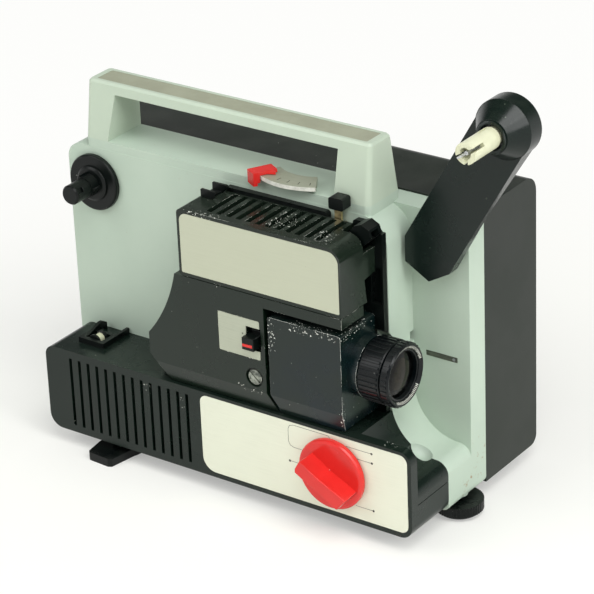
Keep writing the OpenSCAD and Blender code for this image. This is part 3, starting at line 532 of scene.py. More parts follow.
@dataclass(frozen=True)
class Moulding(Finish):
    """A moulded plastic, rubber or painted skin.

    Attributes:
        patch_tone: Tone of its uneven patches.
        shine: How strongly it reflects.
        grain: Size of its grain, in millimetres.
        relief: Depth of its grain, in millimetres.
        patch: Size of its patches, in millimetres.
        chips: How far its edges are chipped, 0 for not at all.
        chip_tone: Tone under the chips.
        chip_size: Size of a chip, in millimetres.
        dust: How dusty it is.
        dust_tone: Tone of the dust.
        scuffs: How far it is scuffed.
        coat: Strength of a glossy coat.
        stains: How far it is stained, 0 for not at all.
        stain_tone: Tone of the stains.
        rubs: Rubbed places, each a box from its low to its high corner.
    """

    patch_tone: Tone = (128, 128, 128)
    shine: float = 0.5
    grain: float = 0.7
    relief: float = 0.012
    patch: float = 38.0
    chips: float = 0.0
    chip_tone: Tone = (214, 214, 204)
    chip_size: float = 1.6
    dust: float = 0.12
    dust_tone: Tone = (196, 200, 188)
    scuffs: float = 0.25
    coat: float = 0.0
    stains: float = 0.0
    stain_tone: Tone = (150, 122, 78)
    rubs: tuple[tuple[Spot, Spot], ...] = ()

    def fill(self, wire: Wiring, shader: bpy.types.Node, effects: Effects) -> None:
        """Wires patches, chips, dust and rub marks over a fine grain.

        Args:
            wire: Wiring of the material's tree.
            shader: The Principled node.
            effects: The shared node groups.
        """
        place, up = self.spot(wire)
        grain = effects.put(wire, Effect.GRAIN, Vector=place, Grain=1 / (self.grain * MM),
                            Patch=1 / (self.patch * MM))
        dust = effects.put(wire, Effect.DUST, Vector=place, Up=up, Scale=DUST_SCALE, Amount=self.dust)
        scuff = effects.put(wire, Effect.SCUFF, Vector=place, Scale=SCUFF_SCALE, Amount=self.scuffs)
        colour = wire.mix(grain.outputs["Patches"], linear(self.tone), linear(self.patch_tone))
        colour = wire.mix(dust.outputs["Film"], colour, linear(self.dust_tone))
        colour = wire.mix(dust.outputs["Specks"], colour, linear(self.dust_tone))
        wire.feed(self._worn(wire, effects, place, colour), shader.inputs["Base Color"])
        rough = self.gloss(wire, grain.outputs["Patches"])
        rough = wire.math("ADD", rough, wire.math("MULTIPLY", scuff.outputs["Mask"], SCUFF_ROUGH))
        rough = wire.math("ADD", rough, wire.math("MULTIPLY", dust.outputs["Film"], DUST_ROUGH))
        wire.feed(rough, shader.inputs["Roughness"])
        shader.inputs["Specular IOR Level"].default_value = self.shine
        shader.inputs["Coat Weight"].default_value = self.coat
        shader.inputs["Coat Roughness"].default_value = COAT_ROUGH
        wire.emboss(shader, grain.outputs["Height"], self.relief)

    def _worn(self, wire: Wiring, effects: Effects, place: bpy.types.NodeSocket,
              colour: bpy.types.NodeSocket) -> bpy.types.NodeSocket:
        """Lays stains, chipped edges and rubbed places over a colour.

        Args:
            wire: Wiring of the material's tree.
            effects: The shared node groups.
            place: The piece's own coordinates.
            colour: The colour underneath.

        Returns:
            The worn colour.
        """
        if self.stains:
            stain = effects.put(wire, Effect.STAIN, Vector=place, Scale=STAIN_SCALE, Amount=self.stains)
            colour = wire.mix(stain.outputs["Mask"], colour, linear(self.stain_tone))
        if self.chips:
            wear = effects.put(wire, Effect.WEAR, Vector=place, Scale=1 / (self.chip_size * MM),
                               Amount=self.chips)
            colour = wire.mix(wear.outputs["Mask"], colour, linear(self.chip_tone))
        for low, high in self.rubs:
            low, high = Bench.place(low), Bench.place(high)
            rub = effects.put(wire, Effect.RUB, Vector=place, Middle=(low + high) / 2,
                              Half=(high - low) / 2, Scale=1 / (RUB_SIZE * MM), Amount=RUB_AMOUNT)
            colour = wire.mix(rub.outputs["Mask"], colour, linear(self.chip_tone))
        return colour


@dataclass(frozen=True)
class Metal(Finish):
    """A bare or plated metal with fine lines in it.

    Attributes:
        dull_tone: Tone of its dull patches.
        metallic: How metallic it is.
        lines: Width of its lines, in millimetres.
        stains: How far it is specked.
        stain_tone: Tone of the specks.
        relief: Depth of its lines, in millimetres.
    """

    dull_tone: Tone = (110, 110, 105)
    metallic: float = 1.0
    lines: float = 0.35
    stains: float = 0.15
    stain_tone: Tone = (120, 98, 62)
    relief: float = 0.004
    uneven: ClassVar[Flat] = (-0.05, 0.1)

    def fill(self, wire: Wiring, shader: bpy.types.Node, effects: Effects) -> None:
        """Wires brushed lines, dull patches and a few stains.

        Args:
            wire: Wiring of the material's tree.
            shader: The Principled node.
            effects: The shared node groups.
        """
        place, up = self.spot(wire)
        brush = effects.put(wire, Effect.BRUSH, Vector=place, Scale=1 / (self.lines * MM))
        grain = effects.put(wire, Effect.GRAIN, Vector=place, Grain=2500.0, Patch=55.0)
        dust = effects.put(wire, Effect.DUST, Vector=place, Up=up, Scale=60.0, Amount=self.stains)
        worn = wire.math("MULTIPLY", grain.outputs["Patches"], brush.outputs["Lines"])
        colour = wire.mix(worn, linear(self.tone), linear(self.dull_tone))
        colour = wire.mix(dust.outputs["Specks"], colour, linear(self.stain_tone))
        wire.feed(colour, shader.inputs["Base Color"])
        shader.inputs["Metallic"].default_value = self.metallic
        wire.feed(self.gloss(wire, brush.outputs["Lines"]), shader.inputs["Roughness"])
        wire.emboss(shader, brush.outputs["Lines"], self.relief)


@dataclass(frozen=True)
class Glass(Finish):
    """Coated or clear glass with a little dust on it.

    Attributes:
        index: How strongly it bends light.
        specks: Tone of the dust.
    """

    index: float = 1.52
    specks: Tone = (200, 200, 190)
    uneven: ClassVar[Flat] = (0.0, 0.05)

    def fill(self, wire: Wiring, shader: bpy.types.Node, effects: Effects) -> None:
        """Wires clear glass whose dust shows in its tone and gloss.

        Args:
            wire: Wiring of the material's tree.
            shader: The Principled node.
            effects: The shared node groups.
        """
        place, up = self.spot(wire)
        dust = effects.put(wire, Effect.DUST, Vector=place, Up=up, Scale=90.0, Amount=0.08)
        grain = effects.put(wire, Effect.GRAIN, Vector=place, Grain=900.0, Patch=160.0)
        colour = wire.mix(dust.outputs["Specks"], linear(self.tone), linear(self.specks))
        wire.feed(colour, shader.inputs["Base Color"])
        wire.feed(self.gloss(wire, grain.outputs["Patches"]), shader.inputs["Roughness"])
        shader.inputs["Transmission Weight"].default_value = 1.0
        shader.inputs["IOR"].default_value = self.index


BASE_SKIN = Moulding("base_skin", (12, 25, 19), rough=0.25, patch_tone=(16, 29, 23), shine=0.33,
                     grain=0.6, patch=46.0, chips=0.34, chip_tone=(206, 208, 198), dust=0.03,
                     rubs=(((-196, -1, 40), (-180, 4, 52)), ((-166, -1, 38), (-158, 4, 50)),
                           ((-252, -1, 2), (-244, 4, 9)), ((-24, -1, 50), (-6, 9, 57))))
GATE_SKIN = Moulding("gate_skin", (10, 25, 15), rough=0.28, patch_tone=(13, 28, 18), shine=0.4,
                     grain=0.6, patch=40.0, chips=0.36, chip_tone=(206, 208, 198), dust=0.08,
                     rubs=(((-126, -3, 64), (-94, 3, 70.5)),))
ARM_SKIN = Moulding("arm_skin", (8, 21, 17), rough=0.25, patch_tone=(11, 25, 20), shine=0.34,
                    grain=0.6, patch=44.0, chips=0.26, chip_tone=(130, 136, 126), dust=0.16,
                    dust_tone=(130, 142, 124))
SHELL_SKIN = Moulding("shell_skin", (186, 202, 186), rough=0.42, patch_tone=(181, 198, 182),
                      shine=0.45, grain=0.9, relief=0.01, patch=70.0, dust=0.05,
                      dust_tone=(170, 160, 120), scuffs=0.15, stains=0.6)
HANDLE_SKIN = Moulding("handle_skin", (187, 201, 182), rough=0.38, patch_tone=(182, 196, 178),
                       grain=0.9, relief=0.008, patch=60.0, dust=0.04,
                       dust_tone=(176, 172, 140), scuffs=0.15)
INLAY_SKIN = Moulding("inlay_skin", (158, 162, 140), rough=0.5, patch_tone=(148, 151, 130),
                      shine=0.4, grain=0.5, relief=0.02, patch=25.0, dust=0.08)
COVER_SKIN = Moulding("cover_skin", (15, 25, 16), rough=0.36, patch_tone=(19, 29, 20), shine=0.31,
                      grain=0.8, relief=0.03, patch=60.0, dust=0.08)
LAMP_SKIN = Moulding("lamp_skin", (21, 31, 23), rough=0.24, patch_tone=(24, 34, 26), shine=0.36,
                     grain=0.6, patch=30.0, chips=0.43, chip_tone=(234, 236, 226), dust=0.06,
                     rubs=(((-106, 0, 164), (-80, 36, 176)), ((-74, -4, 164), (-50, 26, 176)),
                           ((-160, -6, 162), (-120, 6, 174))))
BLACK_SKIN = Moulding("black_skin", (4, 9, 8), rough=0.3, patch_tone=(7, 13, 11), shine=0.24,
                      grain=0.6, patch=24.0, chips=0.28, chip_tone=(120, 124, 118), dust=0.05)
BLOCK_SKIN = Moulding("block_skin", (12, 27, 22), rough=0.24, patch_tone=(7, 24, 29), shine=0.4,
                      grain=0.5, relief=0.008, patch=34.0, chips=0.48, chip_tone=(226, 228, 220),
                      chip_size=1.5, dust=0.22,
                      rubs=(((-92, -8, 110), (-38, 8, 122)), ((-50, -14, 111), (-40, 44, 122)),
                            ((-102, -4, 88), (-88, 4, 124)), ((-50, -6, 56), (-40, 6, 74))))
LENS_SKIN = Moulding("lens_skin", (3, 8, 11), rough=0.28, patch_tone=(5, 11, 13), shine=0.3,
                     grain=0.5, relief=0.008, patch=20.0, chips=0.28, chip_tone=(130, 130, 125),
                     dust=0.07)
RED_SKIN = Moulding("red_skin", (218, 45, 41), rough=0.2, patch_tone=(211, 40, 36), shine=0.36,
                    grain=0.8, relief=0.006, patch=20.0, dust=0.03, dust_tone=(240, 200, 190),
                    scuffs=0.2, coat=0.12)
SCREW_SKIN = Moulding("screw_skin", (56, 62, 55), rough=0.34, patch_tone=(158, 163, 150),
                      grain=0.4, relief=0.05, patch=2.6, chips=0.5, chip_tone=(206, 208, 196),
                      dust=0.2)
CREAM_SKIN = Moulding("cream_skin", (218, 220, 190), rough=0.36, patch_tone=(208, 209, 178),
                      grain=0.6, relief=0.008, patch=14.0, dust=0.05)
RUBBER_SKIN = Moulding("rubber_skin", (14, 16, 15), rough=0.62, patch_tone=(20, 21, 20), shine=0.3,
                       grain=0.6, relief=0.02, patch=20.0, dust=0.16)
INK = Moulding("ink", (58, 60, 54), rough=0.5, patch_tone=(84, 86, 76), shine=0.3, grain=0.3,
               relief=0.002, patch=4.0, dust=0.02)
WHITE_INK = Moulding("white_ink", (232, 233, 222), rough=0.5, patch_tone=(206, 207, 196),
                     shine=0.3, grain=0.3, relief=0.002, patch=3.0, dust=0.02)
PLATE_SKIN = Metal("plate_skin", (226, 229, 210), rough=0.45, dull_tone=(222, 225, 206),
                   metallic=0.05, lines=0.5, stains=0.04, stain_tone=(150, 140, 110))
GATE_PLATE_SKIN = Metal("gate_plate_skin", (180, 185, 166), rough=0.42, dull_tone=(172, 177, 158),
                        metallic=0.2, lines=0.5, stains=0.08, stain_tone=(120, 112, 88))
LAMP_PLATE_SKIN = Metal("lamp_plate_skin", (190, 194, 172), rough=0.42, dull_tone=(188, 192, 170),
                        metallic=0.2, lines=0.5, stains=0.05, stain_tone=(140, 130, 100),
                        relief=0.001)
SCALE_SKIN = Metal("scale_skin", (168, 172, 152), rough=0.42, dull_tone=(154, 158, 138),
                   metallic=0.3, lines=0.5, stains=0.06)
STEEL = Metal("steel", (150, 150, 142), rough=0.34, dull_tone=(104, 104, 96), stains=0.25)
DULL_STEEL = Metal("dull_steel", (120, 126, 112), rough=0.46, dull_tone=(70, 76, 66),
                   metallic=0.7, lines=0.5, stains=0.5, stain_tone=(60, 60, 44))
BRASS = Metal("brass", (128, 120, 90), rough=0.4, dull_tone=(98, 92, 66))
LENS_GLASS = Glass("lens_glass_coat", (126, 114, 78), rough=0.02, index=1.28)
LAMP_GLASS = Glass("lamp_glass", (232, 238, 232), rough=0.04)


@dataclass(frozen=True)
class Zone:
    """A box that picks out some of a piece's edges."""

    low: Spot
    high: Spot

    def holds(self, point: Vector) -> bool:
        """Tells if a point, in millimetres, lies in the box."""
        return all(a <= p <= b for a, p, b in zip(self.low, point, self.high))


@dataclass(frozen=True)
class Rounded:
    """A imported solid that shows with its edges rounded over.

    Attributes:
        node: The solid's name.
        name: The new piece's name.
        soft: Radius of an edge with room for it, in millimetres.
        slot: The record's material slot.
        finish: Its finish.
        second: Finish of the faces that are painted over, if any are.
        but: Zones whose edges have another radius.
        rings: Faces across the widest rounding.
        few: Faces across a narrower one.
    """

    node: str
    name: str
    soft: float
    slot: Slot
    finish: Finish
    second: Finish | None = None
    but: tuple[tuple[Zone, float], ...] = ()
    rings: int = 3
    few: int = 2

    def widths(self) -> list[float]:
        """Gives the radii in the order in which they are cut, widest first."""
        wider = {width for _, width in self.but if width > self.soft}
        return sorted(wider | {self.soft * step for step in STEPS}, reverse=True)

    def width(self, point: Vector) -> float:
        """Gives the radius at a point, both in millimetres."""
        return next((width for zone, width in self.but if zone.holds(point)), self.soft)

    def finishes(self) -> tuple[Finish, ...]:
        """Gives the piece's finishes, the main one first."""
        return (self.finish, self.second) if self.second else (self.finish,)


class Bench:
    """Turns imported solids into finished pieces, and makes small new ones."""

    corner = Vector((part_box("base_housing")[1].x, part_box("base_housing")[0].y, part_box("main_shell")[0].z))

    @classmethod
    def place(cls, spot: Sequence[float]) -> Vector:
        """Turns a point in millimetres from the base's corner into the frame."""
        return cls.corner + Vector(spot) * MM

    @classmethod
    def back(cls, point: Vector) -> Vector:
        """Turns a point of the frame into millimetres from the base's corner."""
        return (point - cls.corner) / MM

    @classmethod
    def soften(cls, solid: Rounded, shift: Callable[[Vector], Vector] | None = None) -> bpy.types.Object:
        """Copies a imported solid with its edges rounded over.

        Args:
            solid: Which solid, and how wide each edge's rounding is.
            shift: Moves a corner of the copy, in millimetres, before the rounding.

        Returns:
            The new piece, which stands for the solid.
        """
        node = solid.node
        work = bmesh.new()
        work.from_mesh(frame["nodes"][node].data)
        bmesh.ops.remove_doubles(work, verts=work.verts[:], dist=WELD)
        if shift:
            for vert in work.verts:
                vert.co = cls.place(shift(cls.back(vert.co)))
        bmesh.ops.dissolve_limit(work, angle_limit=FLAT_TURN, verts=work.verts[:], edges=work.edges[:])
        worn = work.faces.layers.float.new(WEAR)
        for width in solid.widths():
            chosen = [e for e in work.edges if cls._corner(e, worn)
                      and min(solid.width(cls._middle(e)), cls._room(e)) >= width - SLACK]
            if chosen:
                made = bmesh.ops.bevel(
                    work, geom=chosen, offset=width * MM, offset_type="OFFSET",
                    segments=solid.rings if width >= solid.soft else solid.few, profile=0.5,
                    affect="EDGES", clamp_overlap=True, loop_slide=True)
                for face in made["faces"]:
                    face[worn] = 1.0
        piece = cls.piece(solid.name, work)
        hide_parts(node)
        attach(piece, frame["nodes"][node]["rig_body"])
        return piece

    @classmethod
    def _middle(cls, edge: bmesh.types.BMEdge) -> Vector:
        """Gives an edge's middle in millimetres from the base's corner."""
        return cls.back((edge.verts[0].co + edge.verts[1].co) / 2)

    @staticmethod
    def _corner(edge: bmesh.types.BMEdge, worn: bmesh.types.BMLayerItem) -> bool:
        """Tells if an edge is an outward corner that isn't rounded yet.

        Args:
            edge: The edge.
            worn: The layer that marks rounded faces.

        Returns:
            Whether a rounding may go there.
        """
        if len(edge.link_faces) != 2 or not edge.is_convex or edge.calc_face_angle(0.0) <= SHARP_TURN:
            return False
        return not any(face[worn] for face in edge.link_faces)

    @staticmethod
    def _room(edge: bmesh.types.BMEdge) -> float:
        """Finds how wide a rounding an edge has room for.

        Args:
            edge: The edge.

        Returns:
            A little under half the way across its narrower face, in millimetres.
        """
        start, end = (v.co for v in edge.verts)
        middle, along = (start + end) / 2, (end - start).normalized()
        room = math.inf
        for other in {loop.edge for face in edge.link_faces for loop in face.loops} - {edge}:
            low, high = (v.co for v in other.verts)
            line = high - low
            if set(other.verts) & set(edge.verts):
                lean = line.normalized().cross(along).length
                if lean > LEAN:
                    room = min(room, line.length * lean)
                continue
            share = min(1.0, max(0.0, (middle - low).dot(line) / max(line.length_squared, TINY)))
            across = low + line * share - middle
            if abs(across.dot(along)) < ASIDE * across.length:
                room = min(room, across.length)
        return ROOM * room / MM

    @classmethod
    def piece(cls, name: str, work: bmesh.types.BMesh) -> bpy.types.Object:
        """Makes an object from a worked mesh, whose flats stay flat beside their roundings.

        Args:
            name: The object's name.
            work: Its mesh, which is freed.

        Returns:
            The object, in the scene.
        """
        work.faces.index_update()
        work.normal_update()
        weights = [face.calc_area() ** FLAT_PULL for face in work.faces]
        worn = work.faces.layers.float.get(WEAR)
        edges = {face.index for face in work.faces if worn and face[worn]}
        looks = [cls._look(face, loop.vert, edges, weights) for face in work.faces for loop in face.loops]
        mesh = bpy.data.meshes.new(name)
        work.to_mesh(mesh)
        work.free()
        mesh.shade_smooth()
        mesh.normals_split_custom_set(looks)
        return stand(name, mesh)

    @classmethod
    def _look(cls, face: bmesh.types.BMFace, vert: bmesh.types.BMVert, edges: set[int],
              weights: list[float]) -> Vector:
        """Finds the way a surface looks at a corner of one of its faces.

        Args:
            face: The face.
            vert: Its corner.
            edges: Numbers of the faces that are roundings.
            weights: How strongly each face pulls, by its number.

        Returns:
            The normal at the corner. A rounding takes it from the flat that it runs into.
        """
        flats = [other for other in vert.link_faces if other.index not in edges]
        if face.index in edges and not flats:
            near = [o for o in vert.link_faces if o.normal.dot(face.normal) > ROUND_TURN]
        else:
            if face.index in edges:
                face = max(flats, key=lambda other: other.normal.dot(face.normal))
            near = [o for o in flats if cls._runs_on(face, o, weights)]
        total = sum((o.normal * weights[o.index] for o in near), Vector())
        return total.normalized() if total.length else face.normal.copy()

    @staticmethod
    def _runs_on(face: bmesh.types.BMFace, other: bmesh.types.BMFace, weights: list[float]) -> bool:
        """Tells if two faces belong to one curved surface."""
        broad = min(weights[face.index], weights[other.index]) > BROAD ** FLAT_PULL
        return face.normal.dot(other.normal) > (BROAD_TURN if broad else CURVE_TURN)

    @classmethod
    def loose(cls, name: str, work: bmesh.types.BMesh, body: str) -> bpy.types.Object:
        """Makes a new piece, drawn in millimetres, that rides on a body.

        Args:
            name: The piece's name.
            work: Its mesh, in millimetres from the base's corner.
            body: The body that it rides on.

        Returns:
            The new piece.
        """
        for vert in work.verts:
            vert.co = cls.place(vert.co)
        bmesh.ops.recalc_face_normals(work, faces=work.faces[:])
        made = cls.piece(name, work)
        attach(made, body)
        return made

    @staticmethod
    def prism(work: bmesh.types.BMesh, outline: Sequence[Vector], rise: Vector) -> None:
        """Adds a solid to a mesh: an outline and the same outline moved by rise.

        Args:
            work: The mesh.
            outline: The corners of one end, in order.
            rise: From that end to the other.
        """
        low = [work.verts.new(p) for p in outline]
        high = [work.verts.new(Vector(p) + rise) for p in outline]
        work.faces.new(low)
        work.faces.new(list(reversed(high)))
        for i, vert in enumerate(low):
            after = (i + 1) % len(low)
            work.faces.new((vert, high[i], high[after], low[after]))

    @classmethod
    def line(cls, work: bmesh.types.BMesh, path: Sequence[Vector], out: Vector, width: float,
             lift: float) -> None:
        """Adds a printed line to a mesh.

        Args:
            work: The mesh, in millimetres.
            path: The line's points, on the printed face.
            out: The face's outward direction.
            width: The line's width.
            lift: How far it stands off the face.
        """
        for start, end in zip(path, path[1:]):
            along = (end - start).normalized()
            side = along.cross(out) * width / 2
            tip = along * width / 4
            cls.prism(work, [start - tip - side, end + tip - side, end + tip + side, start - tip + side],
                      out * lift)

    @classmethod
    def dot(cls, work: bmesh.types.BMesh, middle: Vector, out: Vector, radius: float,
            lift: float) -> None:
        """Adds a printed or riveted dot to a mesh.

        Args:
            work: The mesh, in millimetres.
            middle: The dot's middle, on its face.
            out: The face's outward direction.
            radius: The dot's radius.
            lift: How far it stands off the face.
        """
        side = out.orthogonal().normalized()
        cross = out.cross(side)
        turns = [2 * math.pi * i / DOT_SIDES for i in range(DOT_SIDES)]
        round_it = [middle + (side * math.cos(a) + cross * math.sin(a)) * radius for a in turns]
        cls.prism(work, round_it, out * lift)

    @staticmethod
    def turned(work: bmesh.types.BMesh, outline: Sequence[Flat], axis: Flat) -> None:
        """Adds a ring turned about a line along X.

        Args:
            work: The mesh, in millimetres.
            outline: The ring's closed section, as X and radius.
            axis: Y and Z of the line.
        """
        rings = []
        for i in range(RING_SIDES):
            turn = 2 * math.pi * i / RING_SIDES
            y, z = math.cos(turn), math.sin(turn)
            rings.append([work.verts.new((x, axis[0] + r * y, axis[1] + r * z)) for x, r in outline])
        for one, two in zip(rings, rings[1:] + rings[:1]):
            for k in range(len(outline)):
                after = (k + 1) % len(outline)
                work.faces.new((one[k], two[k], two[after], one[after]))


@dataclass
class Assembly:
    """Pieces that are made and dressed together.

    Attributes:
        solids: Solids that are rounded over and otherwise keep their shape.
        made: The pieces so far, each with its finishes and its slot.
    """

    solids: tuple[Rounded, ...] = ()
    made: list[tuple[bpy.types.Object, tuple[Finish, ...], Slot]] = field(default_factory=list, init=False)

    def build(self) -> None:
        """Makes the pieces, which are at least the rounded solids."""
        for solid in self.solids:
            self.round_over(solid)

    def keep(self, piece: bpy.types.Object, slot: Slot, *finishes: Finish) -> bpy.types.Object:
        """Notes a piece with the record's slot and its finishes, the main one first."""
        self.made.append((piece, finishes, slot))
        return piece

    def round_over(self, solid: Rounded,
                   shift: Callable[[Vector], Vector] | None = None) -> bpy.types.Object:
        """Rounds a solid over and notes its finishes.

        Args:
            solid: Which solid, and how it shows.
            shift: Moves a corner of the copy, in millimetres, before the rounding.

        Returns:
            The new piece.
        """
        return self.keep(Bench.soften(solid, shift), solid.slot, *solid.finishes())

    def fresh(self, name: str, body: str, slot: Slot, finish: Finish,
              draw: Callable[[bmesh.types.BMesh], None]) -> bpy.types.Object:
        """Draws a new piece that no solid stands for.

        Args:
            name: The piece's name.
            body: The body that it rides on.
            slot: The record's material slot.
            finish: Its finish.
            draw: Fills a mesh, in millimetres from the base's corner.

        Returns:
            The new piece.
        """
        work = bmesh.new()
        draw(work)
        return self.keep(Bench.loose(name, work, body), slot, finish)

    @staticmethod
    def repaint(piece: bpy.types.Object, chosen: Callable[[Vector], bool]) -> None:
        """Gives the faces whose middle is chosen, in millimetres, the piece's second finish."""
        for face in piece.data.polygons:
            face.material_index = int(chosen(Bench.back(face.center)))

    def dress(self, effects: Effects) -> None:
        """Gives each piece its materials.

        Args:
            effects: The shared node groups.
        """
        for piece, finishes, slot in self.made:
            kept = [face.material_index for face in piece.data.polygons]
            piece.data.materials.clear()
            for finish in finishes:
                piece.data.materials.append(finish.material(effects))
            for face, index in zip(piece.data.polygons, kept):
                face.material_index = min(index, len(finishes) - 1)
            LOG.info("%s: %s, %d faces", piece.name, finishes[0].name, len(piece.data.polygons))


@dataclass
class Housing(Assembly):
    """The base, the pale shell, the handle and the rear cover."""

    slots: Zone = Zone((-252, -1, 3), (-152, 5, 52))
    plate_seat: Zone = Zone((-149.2, -1, 2.5), (-2.46, 3, 54))
    rail: float = 0.35
    solids: tuple[Rounded, ...] = (
        Rounded("base_housing", "front_base", 1.4, Slot.BASE, BASE_SKIN,
                but=((slots, rail), (plate_seat, rail))),
        Rounded("control_plate", "control_face", 0.2, Slot.PLATE, PLATE_SKIN),
        Rounded("main_shell", "pale_shell", 1.2, Slot.SHELL, SHELL_SKIN),
        Rounded("handle", "carry_handle", 1.6, Slot.HANDLE, HANDLE_SKIN),
        Rounded("handle_inlay", "grip_strip", 0.15, Slot.INLAY, INLAY_SKIN),
    )
    cover: Rounded = Rounded("rear_cover", "back_cover", 1.0, Slot.COVER, COVER_SKIN)
    cover_long: float = 268.0
    cover_turn: float = 8.05
    cover_wall: float = 4.5
    cover_from: float = 78.9
    near: float = 0.05

    def build(self) -> None:
        """Rounds over the mouldings of the body."""
        super().build()
        self.round_over(self.cover, self._flat_end)

    def _flat_end(self, spot: Vector) -> Vector:
        """Draws the rounded-off ends of the rear cover's outside out to a flat end face.

        Args:
            spot: A corner of the cover, in millimetres.

        Returns:
            Where the corner goes.
        """
        for end, inward in ((0.0, -1.0), (-self.cover_long, 1.0)):
            deep = (spot.x - end) * inward
            outside = deep < self.cover_turn and abs(deep - self.cover_wall) > self.near
            if outside and spot.y > self.cover_from:
                return Vector((end, spot.y, spot.z))
        return spot


@dataclass
class LampHouse(Assembly):
    """The lamp's bulkhead, its slotted cover and the framing knob beside it."""

    wall_corner: Zone = Zone((-40.5, 33.5, 166.5), (-37.5, 39, 169.5))
    wall_round: float = 3.0
    solids: tuple[Rounded, ...] = (
        Rounded("lamp_bulkhead", "lamp_wall", 0.5, Slot.BLACK, BLACK_SKIN,
                but=((wall_corner, wall_round),)),
        Rounded("lamp_cover", "lamp_hood", 0.8, Slot.BASE, LAMP_SKIN),
        Rounded("lamp_cover_plate", "lamp_face", 0.15, Slot.PLATE, LAMP_PLATE_SKIN),
        Rounded("rewind_guide", "film_fins", 0.3, Slot.BLACK, BLACK_SKIN),
    )
    knob: Rounded = Rounded("framing_button", "framing_knob", 0.9, Slot.BLACK, BLACK_SKIN, BRASS)
    stem_top: float = 178.3

    def build(self) -> None:
        """Rounds over the lamp house, and shows the framing knob's stem as metal."""
        super().build()
        self.repaint(self.round_over(self.knob), lambda spot: spot.z < self.stem_top)


@dataclass
class Gate(Assembly):
    """The gate's panel and the lens in its block."""

    solids: tuple[Rounded, ...] = (
        Rounded("gate_panel", "gate_front", 0.8, Slot.BASE, GATE_SKIN),
        Rounded("format_plate", "gate_face", 0.1, Slot.PLATE, GATE_PLATE_SKIN),
        Rounded("format_slider", "gate_slide", 0.4, Slot.BLACK, BLACK_SKIN),
        Rounded("panel_screw", "gate_screw", 0.25, Slot.STEEL, SCREW_SKIN),
        Rounded("lens_block", "lens_mount", 0.8, Slot.BLOCK, BLOCK_SKIN),
        Rounded("zoom_ring", "zoom_grip", 0.3, Slot.LENS, LENS_SKIN),
        Rounded("focus_ring", "focus_grip", 0.3, Slot.LENS, LENS_SKIN),
        Rounded("lens_cell", "lens_tube", 0.25, Slot.LENS, LENS_SKIN),
        Rounded("lens_glass", "lens_front", 0.1, Slot.GLASS, LENS_GLASS),
    )
    axis: Flat = (24.0, 90.0)
    inner_lens: tuple[Flat, ...] = ((-34, 0.02), (-33.4, 4.5), (-31.6, 8.9), (-30.4, 8.9), (-28, 5.0),
                                    (-27, 0.02))
    ring_x: float = -18.0
    ring_r: Flat = (15.45, 17.5)
    ring_deep: float = 1.4
    tick_r: Flat = (16.0, 17.1)
    tick_more: float = 0.3
    tick_every: int = 4
    tick_arcs: tuple[Flat, ...] = ((-62, 76), (132, 214))
    tick_step: float = 3.6
    tick_wide: float = 0.34
    tick_lift: float = 0.05
    slide_front: float = -5.0
    slide_line: tuple[Flat, Flat] = ((-110.0, 97.9), (-104.0, 98.1))
    slide_wide: float = 1.7
    slide_lift: float = 0.08
    plate_dot: Flat = (-113.7, 102.3)
    dot_r: float = 0.45
    dot_lift: float = 0.04

    def build(self) -> None:
        """Rounds over the gate and the lens, and prints their marks."""
        super().build()
        self.fresh("lens_inside", "cell", Slot.GLASS, LENS_GLASS,
                   lambda work: Bench.turned(work, self.inner_lens, self.axis))
        self.fresh("ring_ticks", "focus", Slot.PLATE, WHITE_INK, self._ticks)
        self.fresh("slide_stripe", "format", Slot.RED, RED_SKIN, self._stripe)
        self.fresh("gate_dot", "chassis", Slot.BLACK, INK, self._dot)

    def _ticks(self, work: bmesh.types.BMesh) -> None:
        """Draws short ticks on the sloped front of the focus ring, every fourth one longer.

        Args:
            work: The mesh, in millimetres.
        """
        inner, outer = self.ring_r
        slope = self.ring_deep / (outer - inner)
        for low, high in self.tick_arcs:
            for i in range(int((high - low) / self.tick_step) + 1):
                turn = math.radians(low + i * self.tick_step)
                away = Vector((0, math.sin(turn), math.cos(turn)))
                out = (Vector((1, 0, 0)) - away * slope).normalized()
                more = 0.0 if i % self.tick_every else self.tick_more
                reach = (self.tick_r[0] - more, self.tick_r[1])
                path = [Vector((self.ring_x - (outer - r) * slope, *self.axis)) + away * r for r in reach]
                Bench.line(work, path, out, self.tick_wide, self.tick_lift)

    def _stripe(self, work: bmesh.types.BMesh) -> None:
        """Draws the stripe on the gate's slide."""
        path = [Vector((x, self.slide_front, z)) for x, z in self.slide_line]
        Bench.line(work, path, FRONT, self.slide_wide, self.slide_lift)

    def _dot(self, work: bmesh.types.BMesh) -> None:
        """Draws the dot on the gate's plate."""
        x, z = self.plate_dot
        Bench.dot(work, Vector((x, 0, z)), FRONT, self.dot_r, self.dot_lift)


